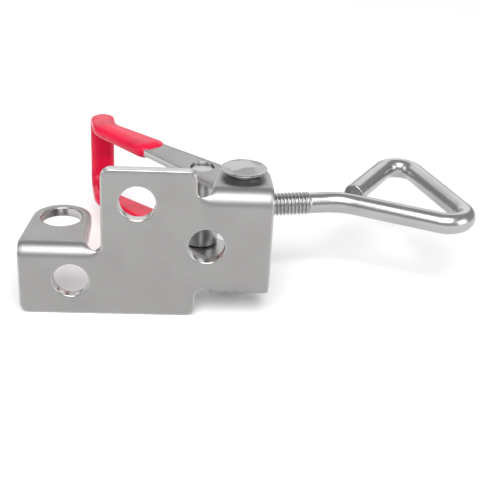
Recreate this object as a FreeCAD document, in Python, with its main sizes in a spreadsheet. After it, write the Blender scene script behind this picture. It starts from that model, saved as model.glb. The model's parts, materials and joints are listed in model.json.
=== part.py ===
"""Toggle bolt latch: a pull-action over-centre latch with a screw-adjusted hook bolt.

The mounting plate stands in the XZ plane with its mounting face at Y = 0 and the mechanism
behind it, towards +Y.  The lever pivot and the trunnion turn about axes parallel to Z.  The
origin is the middle of the mounting hole in the low arm of the plate, on the mounting face.
"""
import FreeCAD, Part
import math
import os

import Sketcher
from FreeCAD import Placement, Rotation, Vector

DIMENSIONS = {
    # mounting bracket, pressed from one sheet
    "sheet_thickness": 2.0,
    "plate_length": 50.25,
    "high_part_height": 32.0,
    "plate_corner_radius": 2.0,
    "mount_hole_diameter": 7.2,
    "low_hole_x": 10.45,
    "low_hole_height": 7.7,
    "high_hole_x": 23.7,
    "high_hole_height": 25.0,
    "mid_hole_offset": 7.1,
    # lock tab, bent back from the low arm
    "tab_level": 15.15,
    "tab_bend_radius": 3.05,
    "tab_width": 13.55,
    "tab_taper": 1.1,
    "tab_hole_diameter": 8.5,
    "tab_hole_reach": 13.7,
    "tab_end_radius": 6.1,
    "tab_slot_width": 3.0,
    "tab_slot_floor": 14.0,
    # pivot ears, bent back from the high part
    "ear_width": 12.05,
    "ear_gap": 0.35,
    "ear_bend_radius": 3.7,
    "ear_end_radius": 5.45,
    "ear_notch_width": 2.9,
    "ear_notch_floor": 26.4,
    "low_relief_width": 2.9,
    "low_relief_ceiling": 6.2,
    "low_relief_radius": 2.0,
    # pivots
    "pivot_inset": 5.75,
    "pivot_reach": 9.2,
    "mid_height": 16.0,
    "rivet_diameter": 5.0,
    "rivet_head_diameter": 9.3,
    "rivet_seat_diameter": 8.7,
    "rivet_crown_diameter": 5.1,
    "rivet_crown_radius": 4.65,
    "rivet_head_height": 1.4,
    "rivet_dome_height": 0.75,
    "rivet_tail_diameter": 7.0,
    "rivet_tail_height": 1.1,
    "rivet_tail_gap": 0.1,
    "running_clearance": 0.06,
    # lever, one strip folded into a U
    "lever_angle": 133.0,
    "strip_thickness": 1.5,
    "lever_half_span": 9.5,
    "lever_pivot_radius": 4.1,
    "lever_neck_reach": 8.2,
    "lever_near_flare": 7.3,
    "lever_far_flare": 8.8,
    "lever_near_edge": 3.4,
    "lever_far_edge": 0.4,
    "lever_flare_angle": 30.0,
    "lever_end_reach": 50.8,
    "lever_end_offset": 3.9,
    "lever_end_width": 3.9,
    "lever_flare_radius": 6.0,
    "lever_bend_radius": 5.0,
    # dipped vinyl grip
    "grip_thickness": 0.8,
    "grip_start": 25.8,
    # trunnion
    "trunnion_throw": 12.05,
    "trunnion_diameter": 7.4,
    "trunnion_play": 0.1,
    "trunnion_stub_diameter": 4.9,
    "trunnion_stub_recess": 0.5,
    "trunnion_chamfer": 0.4,
    # hook bolt, one bent wire with a rolled thread
    "bolt_angle": 9.0,
    "wire_diameter": 4.5,
    "thread_rise": 0.225,
    "thread_tail": 7.2,
    "thread_length": 31.0,
    "thread_end_chamfer": 0.6,
    "hook_reach": 30.8,
    "hook_near_forward": 26.8,
    "hook_near_side": 17.65,
    "hook_far_forward": 20.6,
    "hook_far_side": 22.4,
    "hook_end_forward": 3.9,
    "hook_end_side": 3.3,
    "hook_neck_bend": 12.0,
    "hook_near_bend": 4.4,
    "hook_far_bend": 4.2,
}

# A cutter runs this many times the size that it must pass, so that it goes right through.
THROUGH = 4
# A round slot end or lever end fills nearly all of its width, and leaves a short flat.
NEARLY_ROUND = 0.985
# Clear space around a tongue in what is cut away from it, in millimetres.
TRIM_MARGIN = 2.0

DOC = FreeCAD.newDocument("toggle_bolt_latch")


def write_sheet():
    """Put each driving dimension in its own cell, with its name beside it."""
    sheet = DOC.addObject("Spreadsheet::Sheet", "Sizes")
    for row, (name, number) in enumerate(DIMENSIONS.items(), start=1):
        sheet.set(f"A{row}", name)
        sheet.set(f"B{row}", str(number))
        sheet.setAlias(f"B{row}", name)
    DOC.recompute()
    return sheet


class Size:
    """A size that knows its number and the sheet formula that it comes from."""

    def __init__(self, number, formula):
        self.number = float(number)
        self.formula = formula

    def __add__(self, other):
        other = as_size(other)
        return Size(self.number + other.number, f"({self.formula} + {other.formula})")

    def __sub__(self, other):
        other = as_size(other)
        return Size(self.number - other.number, f"({self.formula} - {other.formula})")

    def __mul__(self, other):
        other = as_size(other)
        return Size(self.number * other.number, f"({self.formula} * {other.formula})")

    def __truediv__(self, other):
        other = as_size(other)
        return Size(self.number / other.number, f"({self.formula} / {other.formula})")

    def __neg__(self):
        return Size(-self.number, f"(0 - {self.formula})")

    __radd__ = __add__
    __rmul__ = __mul__

    def __rsub__(self, other):
        return as_size(other) - self


def as_size(value):
    """Return a Size for a Size or a plain number."""
    if isinstance(value, Size):
        return value
    return Size(value, repr(float(value)))


def sine(angle):
    """Sine of a Size in degrees, as a Size."""
    return Size(math.sin(math.radians(angle.number)), f"sin({angle.formula} * 1deg)")


def cosine(angle):
    """Cosine of a Size in degrees, as a Size."""
    return Size(math.cos(math.radians(angle.number)), f"cos({angle.formula} * 1deg)")


SHEET = write_sheet()
S = {name: Size(SHEET.get(name), f"Sizes.{name}") for name in DIMENSIONS}
ZERO = as_size(0.0)


def bind(feature, **properties):
    """Tie each named property of a feature to its Size."""
    for name, size in properties.items():
        feature.setExpression(name, as_size(size).formula)


# ---------------------------------------------------------------- sketches


class Outline:
    """A sketch whose corners, radii and centres are all tied to the sheet."""

    def __init__(self, sketch):
        self.sketch = sketch

    def _tie(self, kind, geometry, point, size):
        index = self.sketch.addConstraint(
            Sketcher.Constraint(kind, -1, 1, geometry, point, size.number))
        self.sketch.setExpression(f"Constraints[{index}]", size.formula)

    def tie_point(self, geometry, point, corner):
        """Tie one end or centre of a piece of geometry to a corner."""
        self._tie("DistanceX", geometry, point, as_size(corner[0]))
        self._tie("DistanceY", geometry, point, as_size(corner[1]))

    def tie_radius(self, geometry, radius):
        """Tie the radius of an arc or circle."""
        index = self.sketch.addConstraint(Sketcher.Constraint("Radius", geometry, radius.number))
        self.sketch.setExpression(f"Constraints[{index}]", radius.formula)

    def circle(self, centre, diameter):
        """Add a circle."""
        radius = diameter / 2
        middle = Vector(as_size(centre[0]).number, as_size(centre[1]).number, 0)
        geometry = self.sketch.addGeometry(
            Part.Circle(middle, Vector(0, 0, 1), radius.number), False)
        self.tie_point(geometry, 3, centre)
        self.tie_radius(geometry, radius)

    def loop(self, corners, radii=None, closed=True):
        """Add a loop of straight lines, with tangent arcs at the corners that have a radius."""
        radii = radii or {}
        points = [Vector(as_size(x).number, as_size(y).number, 0) for x, y in corners]
        count = len(points)
        pieces = []
        for place in range(count):
            rounded = place in radii and (closed or 0 < place < count - 1)
            if rounded:
                before = points[place - 1]
                after = points[(place + 1) % count]
                pieces.append(corner_arc(before, points[place], after, radii[place].number))
            else:
                pieces.append(None)
        lines = []
        for place in range(count if closed else count - 1):
            following = (place + 1) % count
            start = pieces[place][1] if pieces[place] else points[place]
            end = pieces[following][0] if pieces[following] else points[following]
            lines.append(self.sketch.addGeometry(Part.LineSegment(start, end), False))
        for place in range(count):
            self._join_corner(place, corners, radii, pieces, lines, closed)
        return lines

    def _join_corner(self, place, corners, radii, pieces, lines, closed):
        """Join the two lines that meet at a corner, directly or through its arc."""
        last = len(corners) - 1
        if not closed and place in (0, last):
            line, end = (lines[0], 1) if place == 0 else (lines[-1], 2)
            self.tie_point(line, end, corners[place])
            return
        before = lines[place - 1]
        after = lines[place]
        if pieces[place] is None:
            self.sketch.addConstraint(Sketcher.Constraint("Coincident", before, 2, after, 1))
            self.tie_point(after, 1, corners[place])
            return
        start, end, middle, turn = pieces[place]
        first, second = (start, end) if turn > 0 else (end, start)
        centre = Part.Circle(middle, Vector(0, 0, 1), radii[place].number)
        arc = self.sketch.addGeometry(
            Part.ArcOfCircle(centre, centre.parameter(first), centre.parameter(second)), False)
        entry, leave = (1, 2) if turn > 0 else (2, 1)
        self.sketch.addConstraint(Sketcher.Constraint("Tangent", before, 2, arc, entry))
        self.sketch.addConstraint(Sketcher.Constraint("Tangent", after, 1, arc, leave))
        self.tie_radius(arc, radii[place])
        corner = self.sketch.addGeometry(Part.Point(
            Vector(as_size(corners[place][0]).number, as_size(corners[place][1]).number, 0)), True)
        self.tie_point(corner, 1, corners[place])
        self.sketch.addConstraint(Sketcher.Constraint("PointOnObject", corner, 1, before))
        self.sketch.addConstraint(Sketcher.Constraint("PointOnObject", corner, 1, after))


def corner_arc(before, corner, after, radius):
    """Return an arc's start, end, centre and turn (+1 left, -1 right) at a rounded corner."""
    back = (before - corner).normalize()
    ahead = (after - corner).normalize()
    half = back.getAngle(ahead) / 2
    setback = radius / math.tan(half)
    start = corner + back * setback
    end = corner + ahead * setback
    bisector = (back + ahead).normalize()
    middle = corner + bisector * (radius / math.sin(half))
    turn = 1 if back.cross(ahead).z < 0 else -1
    return start, end, middle, turn


def origin_plane(body, role):
    """Find one of a body's own origin planes."""
    return next(item for item in body.Origin.OriginFeatures if item.Role == role)


def body_sketch(body, name, role, shift=None):
    """Make a sketch on an origin plane of its own body, moved along the plane's normal."""
    sketch = body.newObject("Sketcher::SketchObject", name)
    sketch.AttachmentSupport = [(origin_plane(body, role), "")]
    sketch.MapMode = "FlatFace"
    if shift is not None:
        sketch.setExpression("AttachmentOffset.Base.z", shift.formula)
    return Outline(sketch)


def flat_sketch(name):
    """Make a sketch in the XY plane for a part that isn't built in a body."""
    return Outline(DOC.addObject("Sketcher::SketchObject", name))


def new_body(label):
    """Start a body whose label names its file."""
    body = DOC.addObject("PartDesign::Body", label)
    body.Label = label
    return body


def pad(body, outline, name, length, reverse=False, midplane=False):
    """Add material along the sketch's normal."""
    feature = body.newObject("PartDesign::Pad", name)
    feature.Profile = outline.sketch
    feature.Reversed = reverse
    feature.Midplane = midplane
    bind(feature, Length=length)
    DOC.recompute()
    return feature


def pocket(body, outline, name, length, reverse=False, midplane=False):
    """Cut along the sketch's normal, and make sure that it cuts."""
    volume = body.Shape.Volume
    feature = body.newObject("PartDesign::Pocket", name)
    feature.Profile = outline.sketch
    feature.Reversed = reverse
    feature.Midplane = midplane
    bind(feature, Length=length)
    DOC.recompute()
    if feature.Shape.Volume >= volume:
        raise ValueError(f"{name} cuts nothing")
    return feature


def place(part, x, y, z, turn=ZERO):
    """Set a part down at a point, turned about the vertical, tied to the sheet."""
    part.Placement = Placement(Vector(0, 0, 0), Rotation(Vector(0, 0, 1), 0))
    for axis, size in (("x", x), ("y", y), ("z", z)):
        part.setExpression(f"Placement.Base.{axis}", as_size(size).formula)
    part.setExpression("Placement.Rotation.Angle", turn.formula)


# ---------------------------------------------------------------- shared places

# The sketches of the plate measure from its lower left corner, and the origin hole is there too.
PLATE_X = -S["low_hole_x"]
PLATE_Z = -S["low_hole_height"]
EAR_LEFT = S["plate_length"] - S["ear_width"]
EAR_HALF_SPAN = S["lever_half_span"] + S["ear_gap"] + S["sheet_thickness"]
PIVOT_ALONG_PLATE = S["plate_length"] - S["pivot_inset"]
PIVOT_X = PLATE_X + PIVOT_ALONG_PLATE
PIVOT_Y = S["pivot_reach"]
MID_Z = PLATE_Z + S["mid_height"]
TRUNNION_X = PIVOT_X + S["trunnion_throw"] * cosine(S["lever_angle"])
TRUNNION_Y = PIVOT_Y + S["trunnion_throw"] * sine(S["lever_angle"])
LEVER_INNER_HALF = S["lever_half_span"] - S["strip_thickness"]
THREAD_RADIUS = S["wire_diameter"] / 2 + S["thread_rise"]


# ---------------------------------------------------------------- bracket


def flange_profile(outline, level, outward, radius, length):
    """Draw a bent flange seen from the side: a quarter bend, then a flat that runs back.

    Its root runs on into the plate by half the sheet's thickness, so that the two are one.
    level is the height of the outer face, and outward is +1 where that face looks up.
    """
    thick = S["sheet_thickness"]
    root = level - (radius + thick / 2) * outward
    inner = level - thick * outward
    corners = [(ZERO, root), (ZERO, level), (length, level), (length, inner), (thick, inner),
               (thick, root)]
    outline.loop(corners, {1: radius, 4: radius - thick})


def tongue_trim(outline, left, right, root, end_x, end_y, radius):
    """Draw what is cut away around a tongue that tapers to a round end.

    The taper's sides are tangent to the end, so the sketch's solver finds where they touch.
    """
    sketch = outline.sketch
    low_left = Vector(left.number, root.number, 0)
    low_right = Vector(right.number, root.number, 0)
    middle = Vector(end_x.number, end_y.number, 0)
    touch_left = tangent_point(low_left, middle, radius.number, 1)
    touch_right = tangent_point(low_right, middle, radius.number, -1)
    circle = Part.Circle(middle, Vector(0, 0, 1), radius.number)
    arc = sketch.addGeometry(Part.ArcOfCircle(
        circle, circle.parameter(touch_right), circle.parameter(touch_left)), False)
    side_left = sketch.addGeometry(Part.LineSegment(low_left, touch_left), False)
    side_right = sketch.addGeometry(Part.LineSegment(touch_right, low_right), False)
    far = end_y + radius + TRIM_MARGIN
    frame = [(left, root), (left - TRIM_MARGIN, root), (left - TRIM_MARGIN, far),
             (right + TRIM_MARGIN, far), (right + TRIM_MARGIN, root), (right, root)]
    lines = outline.loop(frame, closed=False)
    sketch.addConstraint(Sketcher.Constraint("Coincident", side_left, 1, lines[0], 1))
    sketch.addConstraint(Sketcher.Constraint("Coincident", side_right, 2, lines[-1], 2))
    sketch.addConstraint(Sketcher.Constraint("Tangent", side_left, 2, arc, 2))
    sketch.addConstraint(Sketcher.Constraint("Tangent", side_right, 1, arc, 1))
    outline.tie_point(arc, 3, (end_x, end_y))
    outline.tie_radius(arc, radius)


def tangent_point(outside, middle, radius, side):
    """Return where a line from a point outside a circle touches it, on the given side."""
    reach = outside - middle
    turn = math.acos(radius / reach.Length) * side
    heading = math.atan2(reach.y, reach.x) - turn
    return middle + Vector(math.cos(heading), math.sin(heading), 0) * radius


def make_bracket():
    """Build the pressed bracket: plate, lock tab, two pivot ears, reliefs and holes."""
    body = new_body("base_bracket")
    thick = S["sheet_thickness"]
    radius = S["plate_corner_radius"]
    mid = S["mid_height"]
    ear_top = mid + EAR_HALF_SPAN
    ear_bottom = mid - EAR_HALF_SPAN
    notch = S["ear_notch_width"]
    notch_left = EAR_LEFT - notch
    relief_left = EAR_LEFT - S["low_relief_width"]
    slot = S["tab_slot_width"]
    high_left = S["tab_width"] + slot
    corners = [
        (ZERO, ZERO),
        (relief_left, ZERO),
        (relief_left, S["low_relief_ceiling"]),
        (EAR_LEFT, S["low_relief_ceiling"]),
        (EAR_LEFT, ear_bottom + S["ear_bend_radius"]),
        (S["plate_length"], ear_bottom + S["ear_bend_radius"]),
        (S["plate_length"], ear_top - S["ear_bend_radius"]),
        (EAR_LEFT, ear_top - S["ear_bend_radius"]),
        (EAR_LEFT, S["ear_notch_floor"]),
        (notch_left, S["ear_notch_floor"]),
        (notch_left, S["high_part_height"]),
        (high_left, S["high_part_height"]),
        (high_left, S["tab_slot_floor"]),
        (S["tab_width"], S["tab_slot_floor"]),
        (S["tab_width"], S["tab_level"] - S["tab_bend_radius"]),
        (ZERO, S["tab_level"] - S["tab_bend_radius"]),
    ]
    rounding = {0: radius, 1: radius, 2: S["low_relief_radius"],
                9: notch / 2 * NEARLY_ROUND, 10: radius, 11: radius,
                12: slot / 2 * NEARLY_ROUND}
    plate = body_sketch(body, "plate_outline", "XZ_Plane")
    plate.loop(corners, rounding)
    pad(body, plate, "plate", thick, reverse=True)

    tab_reach = S["tab_hole_reach"] + S["tab_end_radius"]
    tab_side = body_sketch(body, "tab_side", "YZ_Plane")
    flange_profile(tab_side, S["tab_level"], 1, S["tab_bend_radius"], tab_reach)
    pad(body, tab_side, "tab", S["tab_width"])

    ear_reach = S["pivot_reach"] + S["ear_end_radius"]
    for name, level, outward in (("upper_ear", ear_top, 1), ("lower_ear", ear_bottom, -1)):
        side = body_sketch(body, f"{name}_side", "YZ_Plane", EAR_LEFT)
        flange_profile(side, level, outward, S["ear_bend_radius"], ear_reach)
        pad(body, side, name, S["plate_length"] - EAR_LEFT)

    tab_middle = (S["tab_width"] + S["tab_taper"]) / 2
    span = S["high_part_height"] * THROUGH
    trim = body_sketch(body, "tab_trim", "XY_Plane")
    tongue_trim(trim, ZERO, S["tab_width"], S["tab_bend_radius"], tab_middle,
                S["tab_hole_reach"], S["tab_end_radius"])
    pocket(body, trim, "tab_shape", span, midplane=True)
    trim = body_sketch(body, "ear_trim", "XY_Plane")
    tongue_trim(trim, EAR_LEFT, S["plate_length"], S["ear_bend_radius"], PIVOT_ALONG_PLATE,
                S["pivot_reach"], S["ear_end_radius"])
    pocket(body, trim, "ear_shape", span, midplane=True)

    holes = body_sketch(body, "plate_holes", "XZ_Plane")
    for x, z in ((S["low_hole_x"], S["low_hole_height"]), (S["high_hole_x"], S["high_hole_height"]),
                 (PIVOT_ALONG_PLATE - S["mid_hole_offset"], mid)):
        holes.circle((x, z), S["mount_hole_diameter"])
    pocket(body, holes, "mount_holes", thick * THROUGH, midplane=True)

    bores = body_sketch(body, "flange_holes", "XY_Plane")
    bores.circle((tab_middle, S["tab_hole_reach"]), S["tab_hole_diameter"])
    bores.circle((PIVOT_ALONG_PLATE, S["pivot_reach"]), S["rivet_diameter"])
    pocket(body, bores, "tab_and_pivot_holes", span, midplane=True)
    place(body, PLATE_X, ZERO, PLATE_Z)
    return body


# ---------------------------------------------------------------- rivets


def make_rivet(label, upside_down):
    """Build a pivot rivet: domed head outside the ear, shank, and a low tail inside the lever."""
    body = new_body(label)
    head = S["rivet_head_diameter"] / 2
    seat = S["rivet_seat_diameter"] / 2
    top = S["rivet_crown_diameter"] / 2
    shank = S["rivet_diameter"] / 2
    tail = S["rivet_tail_diameter"] / 2
    ear_face = EAR_HALF_SPAN
    rim = ear_face + S["rivet_head_height"]
    crown = rim + S["rivet_dome_height"]
    tail_face = LEVER_INNER_HALF - S["rivet_tail_gap"]
    tail_end = tail_face - S["rivet_tail_height"]
    profile = body_sketch(body, f"{label}_profile", "XZ_Plane")
    corners = [(ZERO, tail_end), (tail, tail_end), (tail, tail_face), (shank, tail_face),
               (shank, ear_face), (seat, ear_face), (head, rim), (top, crown), (ZERO, crown)]
    profile.loop(corners, {7: S["rivet_crown_radius"]})
    turned = body.newObject("PartDesign::Revolution", f"{label}_turned")
    turned.Profile = profile.sketch
    turned.ReferenceAxis = (profile.sketch, ["V_Axis"])
    turned.Angle = 360
    DOC.recompute()
    if upside_down:
        body.Placement = Placement(Vector(0, 0, 0), Rotation(Vector(1, 0, 0), 180))
        for axis, size in (("x", PIVOT_X), ("y", PIVOT_Y), ("z", MID_Z)):
            body.setExpression(f"Placement.Base.{axis}", size.formula)
    else:
        place(body, PIVOT_X, PIVOT_Y, MID_Z)
    return body


# ---------------------------------------------------------------- lever and grip


def lever_plan(name, skin):
    """Draw the lever from above, grown all round by the thickness of a skin.

    X runs from the pivot towards the grip, and +Y is the side that faces the plate when shut.
    """
    flare = S["lever_flare_angle"]
    half = S["lever_end_width"] / 2 + skin
    reach = S["lever_end_reach"] + skin * cosine(flare)
    offset = S["lever_end_offset"] + skin * sine(flare)
    near_end = (reach + half * sine(flare), half * cosine(flare) - offset)
    far_end = (reach - half * sine(flare), -half * cosine(flare) - offset)
    pivot = S["lever_pivot_radius"] + skin
    corners = [
        (-pivot, pivot),
        (-pivot, -pivot),
        (S["lever_neck_reach"], -pivot),
        (S["lever_end_reach"] - S["lever_far_flare"], -S["lever_far_edge"] - skin),
        far_end,
        near_end,
        (S["lever_end_reach"] - S["lever_near_flare"], S["lever_near_edge"] + skin),
        (S["lever_neck_reach"], pivot),
    ]
    outline = flat_sketch(name)
    bend = S["lever_flare_radius"]
    round_end = pivot * NEARLY_ROUND
    outline.loop(corners, {0: round_end, 1: round_end, 3: bend - skin, 6: bend + skin})
    return outline


def lever_side(name, skin):
    """Draw the folded strip from the side: a long U on its side, grown by a skin."""
    flare = S["lever_flare_angle"]
    outer = S["lever_half_span"] + skin
    inner = LEVER_INNER_HALF - skin
    end = S["lever_end_reach"] * cosine(flare) + S["lever_end_offset"] * sine(flare) + skin
    stop = end - S["strip_thickness"] - skin * 2
    back = -S["lever_end_reach"]
    corners = [(back, outer), (end, outer), (end, -outer), (back, -outer), (back, -inner),
               (stop, -inner), (stop, inner), (back, inner)]
    outline = flat_sketch(name)
    outline.sketch.Placement = Placement(Vector(0, 0, 0), Rotation(Vector(1, 0, 0), 90))
    outside = S["lever_bend_radius"] + skin
    inside = S["lever_bend_radius"] - S["strip_thickness"] - skin
    outline.loop(corners, {1: outside, 2: outside, 5: inside, 6: inside})
    return outline


def folded_strip(name, skin):
    """Fold a strip: what the view from above and the view from the side both hold."""
    plan = lever_plan(f"{name}_plan", skin)
    above = extrude(plan, f"{name}_above", Vector(0, 0, 1), S["lever_half_span"] * THROUGH)
    side = lever_side(f"{name}_side", skin)
    beside = extrude(side, f"{name}_beside", Vector(0, 1, 0), S["lever_end_reach"] * THROUGH)
    # the side view is square to the flared end
    place(beside, ZERO, ZERO, ZERO, -S["lever_flare_angle"])
    common = DOC.addObject("Part::Common", f"{name}_folded")
    common.Base = above
    common.Tool = beside
    return common


def extrude(outline, name, direction, length):
    """Extrude a free sketch to both sides."""
    solid = DOC.addObject("Part::Extrusion", name)
    solid.Base = outline.sketch
    solid.DirMode = "Custom"
    solid.Dir = direction
    solid.Solid = True
    solid.Symmetric = True
    bind(solid, LengthFwd=length)
    return solid


def upright_cylinder(name, x, radius, height):
    """Make a cylinder about a vertical axis on the lever's line, centred on its middle."""
    solid = DOC.addObject("Part::Cylinder", name)
    bind(solid, Radius=radius, Height=height)
    solid.setExpression("Placement.Base.x", as_size(x).formula)
    solid.setExpression("Placement.Base.z", (-height / 2).formula)
    return solid


def make_lever():
    """Build the lever: a tapered strip folded into a U, with pivot and trunnion holes."""
    strip = folded_strip("strip", ZERO)
    tall = S["lever_half_span"] * THROUGH
    pivot_hole = upright_cylinder(
        "lever_pivot_hole", ZERO, S["rivet_diameter"] / 2 + S["running_clearance"], tall)
    stub_hole = upright_cylinder(
        "lever_stub_hole", S["trunnion_throw"],
        S["trunnion_stub_diameter"] / 2 + S["running_clearance"], tall)
    drilled = DOC.addObject("Part::Cut", "strip_drilled")
    drilled.Base = strip
    drilled.Tool = pivot_hole
    lever = DOC.addObject("Part::Cut", "handle_lever")
    lever.Base = drilled
    lever.Tool = stub_hole
    lever.Label = "handle_lever"
    place(lever, PIVOT_X, PIVOT_Y, MID_Z, S["lever_angle"])
    return lever


def make_grip():
    """Build the dipped vinyl skin over the far part of the lever."""
    outer = folded_strip("skin", S["grip_thickness"])
    inner = folded_strip("skin_core", ZERO)
    hollow = DOC.addObject("Part::Cut", "skin_hollow")
    hollow.Base = outer
    hollow.Tool = inner
    zone = DOC.addObject("Part::Box", "dipped_zone")
    wide = S["lever_end_reach"] * THROUGH
    bind(zone, Length=wide, Width=wide, Height=wide)
    zone.setExpression("Placement.Base.x", S["grip_start"].formula)
    zone.setExpression("Placement.Base.y", (-wide / 2).formula)
    zone.setExpression("Placement.Base.z", (-wide / 2).formula)
    grip = DOC.addObject("Part::Common", "handle_grip")
    grip.Base = hollow
    grip.Tool = zone
    grip.Label = "handle_grip"
    place(grip, PIVOT_X, PIVOT_Y, MID_Z, S["lever_angle"])
    return grip


# ---------------------------------------------------------------- trunnion


def make_trunnion():
    """Build the cross barrel: stubs that turn in the lever, and the bore that the bolt is in."""
    body = new_body("trunnion")
    barrel = S["trunnion_diameter"] / 2
    stub = S["trunnion_stub_diameter"] / 2
    chamfer = S["trunnion_chamfer"]
    shoulder = LEVER_INNER_HALF - S["trunnion_play"]
    end = S["lever_half_span"] - S["trunnion_stub_recess"]
    corners = [(ZERO, end), (stub, end), (stub, shoulder), (barrel - chamfer, shoulder),
               (barrel, shoulder - chamfer), (barrel, chamfer - shoulder),
               (barrel - chamfer, -shoulder), (stub, -shoulder), (stub, -end), (ZERO, -end)]
    profile = body_sketch(body, "barrel_profile", "XZ_Plane")
    profile.loop(corners)
    turned = body.newObject("PartDesign::Revolution", "barrel")
    turned.Profile = profile.sketch
    turned.ReferenceAxis = (profile.sketch, ["V_Axis"])
    turned.Angle = 360
    DOC.recompute()
    bore = body_sketch(body, "bore_circle", "YZ_Plane")
    bore.circle((ZERO, ZERO), (THREAD_RADIUS + S["running_clearance"]) * 2)
    pocket(body, bore, "bore", S["trunnion_diameter"] * THROUGH, midplane=True)
    place(body, TRUNNION_X, TRUNNION_Y, MID_Z, S["bolt_angle"])
    return body


# ---------------------------------------------------------------- hook bolt


def make_hook_bolt():
    """Build the bolt: rolled thread, plain shank, and the wire bent into an open triangle."""
    body = new_body("hook_bolt")
    neck = S["hook_reach"]
    near = (neck + S["hook_near_forward"], -S["hook_near_side"])
    far = (neck + S["hook_far_forward"], S["hook_far_side"])
    end = (neck + S["hook_end_forward"], S["hook_end_side"])
    thread_end = S["thread_length"] - S["thread_tail"]
    route = body_sketch(body, "wire_route", "XY_Plane")
    route.loop([(thread_end, ZERO), (neck, ZERO), near, far, end],
               {1: S["hook_neck_bend"], 2: S["hook_near_bend"], 3: S["hook_far_bend"]},
               closed=False)
    section = body_sketch(body, "wire_section", "YZ_Plane", thread_end)
    section.circle((ZERO, ZERO), S["wire_diameter"])
    wire = body.newObject("PartDesign::AdditivePipe", "wire")
    wire.Profile = section.sketch
    wire.Spine = (route.sketch, [])
    DOC.recompute()
    radius = THREAD_RADIUS
    chamfer = S["thread_end_chamfer"]
    tail = -S["thread_tail"]
    thread = body_sketch(body, "thread_profile", "XZ_Plane")
    thread.loop([(tail, ZERO), (tail, radius - chamfer), (tail + chamfer, radius),
                 (thread_end - chamfer, radius), (thread_end, S["wire_diameter"] / 2),
                 (thread_end, ZERO)])
    turned = body.newObject("PartDesign::Revolution", "thread")
    turned.Profile = thread.sketch
    turned.ReferenceAxis = (thread.sketch, ["H_Axis"])
    turned.Angle = 360
    DOC.recompute()
    place(body, TRUNNION_X, TRUNNION_Y, MID_Z, S["bolt_angle"])
    return body


# ---------------------------------------------------------------- build and write


def check_document(parts):
    """Stop if any object failed, or any sub-part has no good solid."""
    for item in DOC.Objects:
        if any(state in ("Invalid", "Error") for state in item.State):
            raise ValueError(f"{item.Name} failed: {item.State}")
    for part in parts:
        if part.Shape.isNull() or not part.Shape.isValid() or not part.Shape.Solids:
            raise ValueError(f"{part.Label} has no valid solid")


def main():
    """Build every sub-part and write one STEP file for each."""
    os.makedirs("parts", exist_ok=True)
    parts = [
        make_bracket(),
        make_rivet("pivot_rivet_upper", False),
        make_rivet("pivot_rivet_lower", True),
        make_lever(),
        make_grip(),
        make_trunnion(),
        make_hook_bolt(),
    ]
    DOC.recompute()
    check_document(parts)
    for part in parts:
        box = part.Shape.BoundBox
        print(f"{part.Label}: {len(part.Shape.Solids)} solid, {part.Shape.Volume:.1f} mm3, "
              f"x {box.XMin:.2f} {box.XMax:.2f}, y {box.YMin:.2f} {box.YMax:.2f}, "
              f"z {box.ZMin:.2f} {box.ZMax:.2f}")
        part.Shape.exportStep(f"parts/{part.Label}.step")


main()
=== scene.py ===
"""Looks of a toggle bolt latch: bent sheet, folded lever, dipped grip, rivets, trunnion and bolt.

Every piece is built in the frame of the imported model, in metres.  Sizes inside the classes are in
millimetres.  Sheet pieces start as a flat blank with rolled edges and are then bent, as the real
ones are, so their grain follows the sheet round each bend.
"""

import json
import logging
import math
import random
from dataclasses import dataclass, field
from enum import Enum
from typing import Any, Callable, Sequence

import bmesh
import bpy
import numpy as np
from mathutils import Matrix, Vector
from mathutils.geometry import delaunay_2d_cdt


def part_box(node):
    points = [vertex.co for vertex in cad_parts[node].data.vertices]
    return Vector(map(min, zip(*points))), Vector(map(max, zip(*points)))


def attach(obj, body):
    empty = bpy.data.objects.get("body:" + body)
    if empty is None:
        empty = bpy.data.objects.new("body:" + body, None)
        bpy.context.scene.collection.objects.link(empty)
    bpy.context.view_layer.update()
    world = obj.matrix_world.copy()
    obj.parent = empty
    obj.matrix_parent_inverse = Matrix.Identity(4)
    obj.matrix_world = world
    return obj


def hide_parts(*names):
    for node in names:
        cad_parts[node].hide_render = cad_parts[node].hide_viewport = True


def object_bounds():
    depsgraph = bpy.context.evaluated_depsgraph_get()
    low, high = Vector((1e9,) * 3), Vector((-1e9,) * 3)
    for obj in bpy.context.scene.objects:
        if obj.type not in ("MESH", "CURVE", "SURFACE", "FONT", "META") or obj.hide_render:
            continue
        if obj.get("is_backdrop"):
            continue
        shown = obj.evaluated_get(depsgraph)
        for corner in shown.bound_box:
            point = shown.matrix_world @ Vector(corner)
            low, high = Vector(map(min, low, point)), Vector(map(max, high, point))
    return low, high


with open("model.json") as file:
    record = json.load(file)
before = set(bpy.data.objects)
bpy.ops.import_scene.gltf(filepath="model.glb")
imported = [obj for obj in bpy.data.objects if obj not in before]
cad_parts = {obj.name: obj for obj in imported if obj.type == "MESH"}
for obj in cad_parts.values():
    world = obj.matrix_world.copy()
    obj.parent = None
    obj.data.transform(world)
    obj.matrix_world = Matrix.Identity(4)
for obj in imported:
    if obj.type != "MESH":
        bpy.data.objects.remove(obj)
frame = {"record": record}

MM = 0.001
LOG = logging.getLogger("latch")
Loop = list[tuple[float, float]]
Corner = tuple[float, float, float]
Colour = tuple[float, float, float]
Triple = tuple[float, float, float]
GOLDEN_ANGLE = 2.39996


class Body(Enum):
    """The moving groups that pieces ride on."""

    BASE = "base"
    HANDLE = "handle"
    BARREL = "cross_barrel"
    HOOK = "hook"


class Face(Enum):
    """The two faces of a sheet."""

    FRONT = "front"
    BACK = "back"


# ------------------------------------------------------------------------------- shader maths


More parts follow.
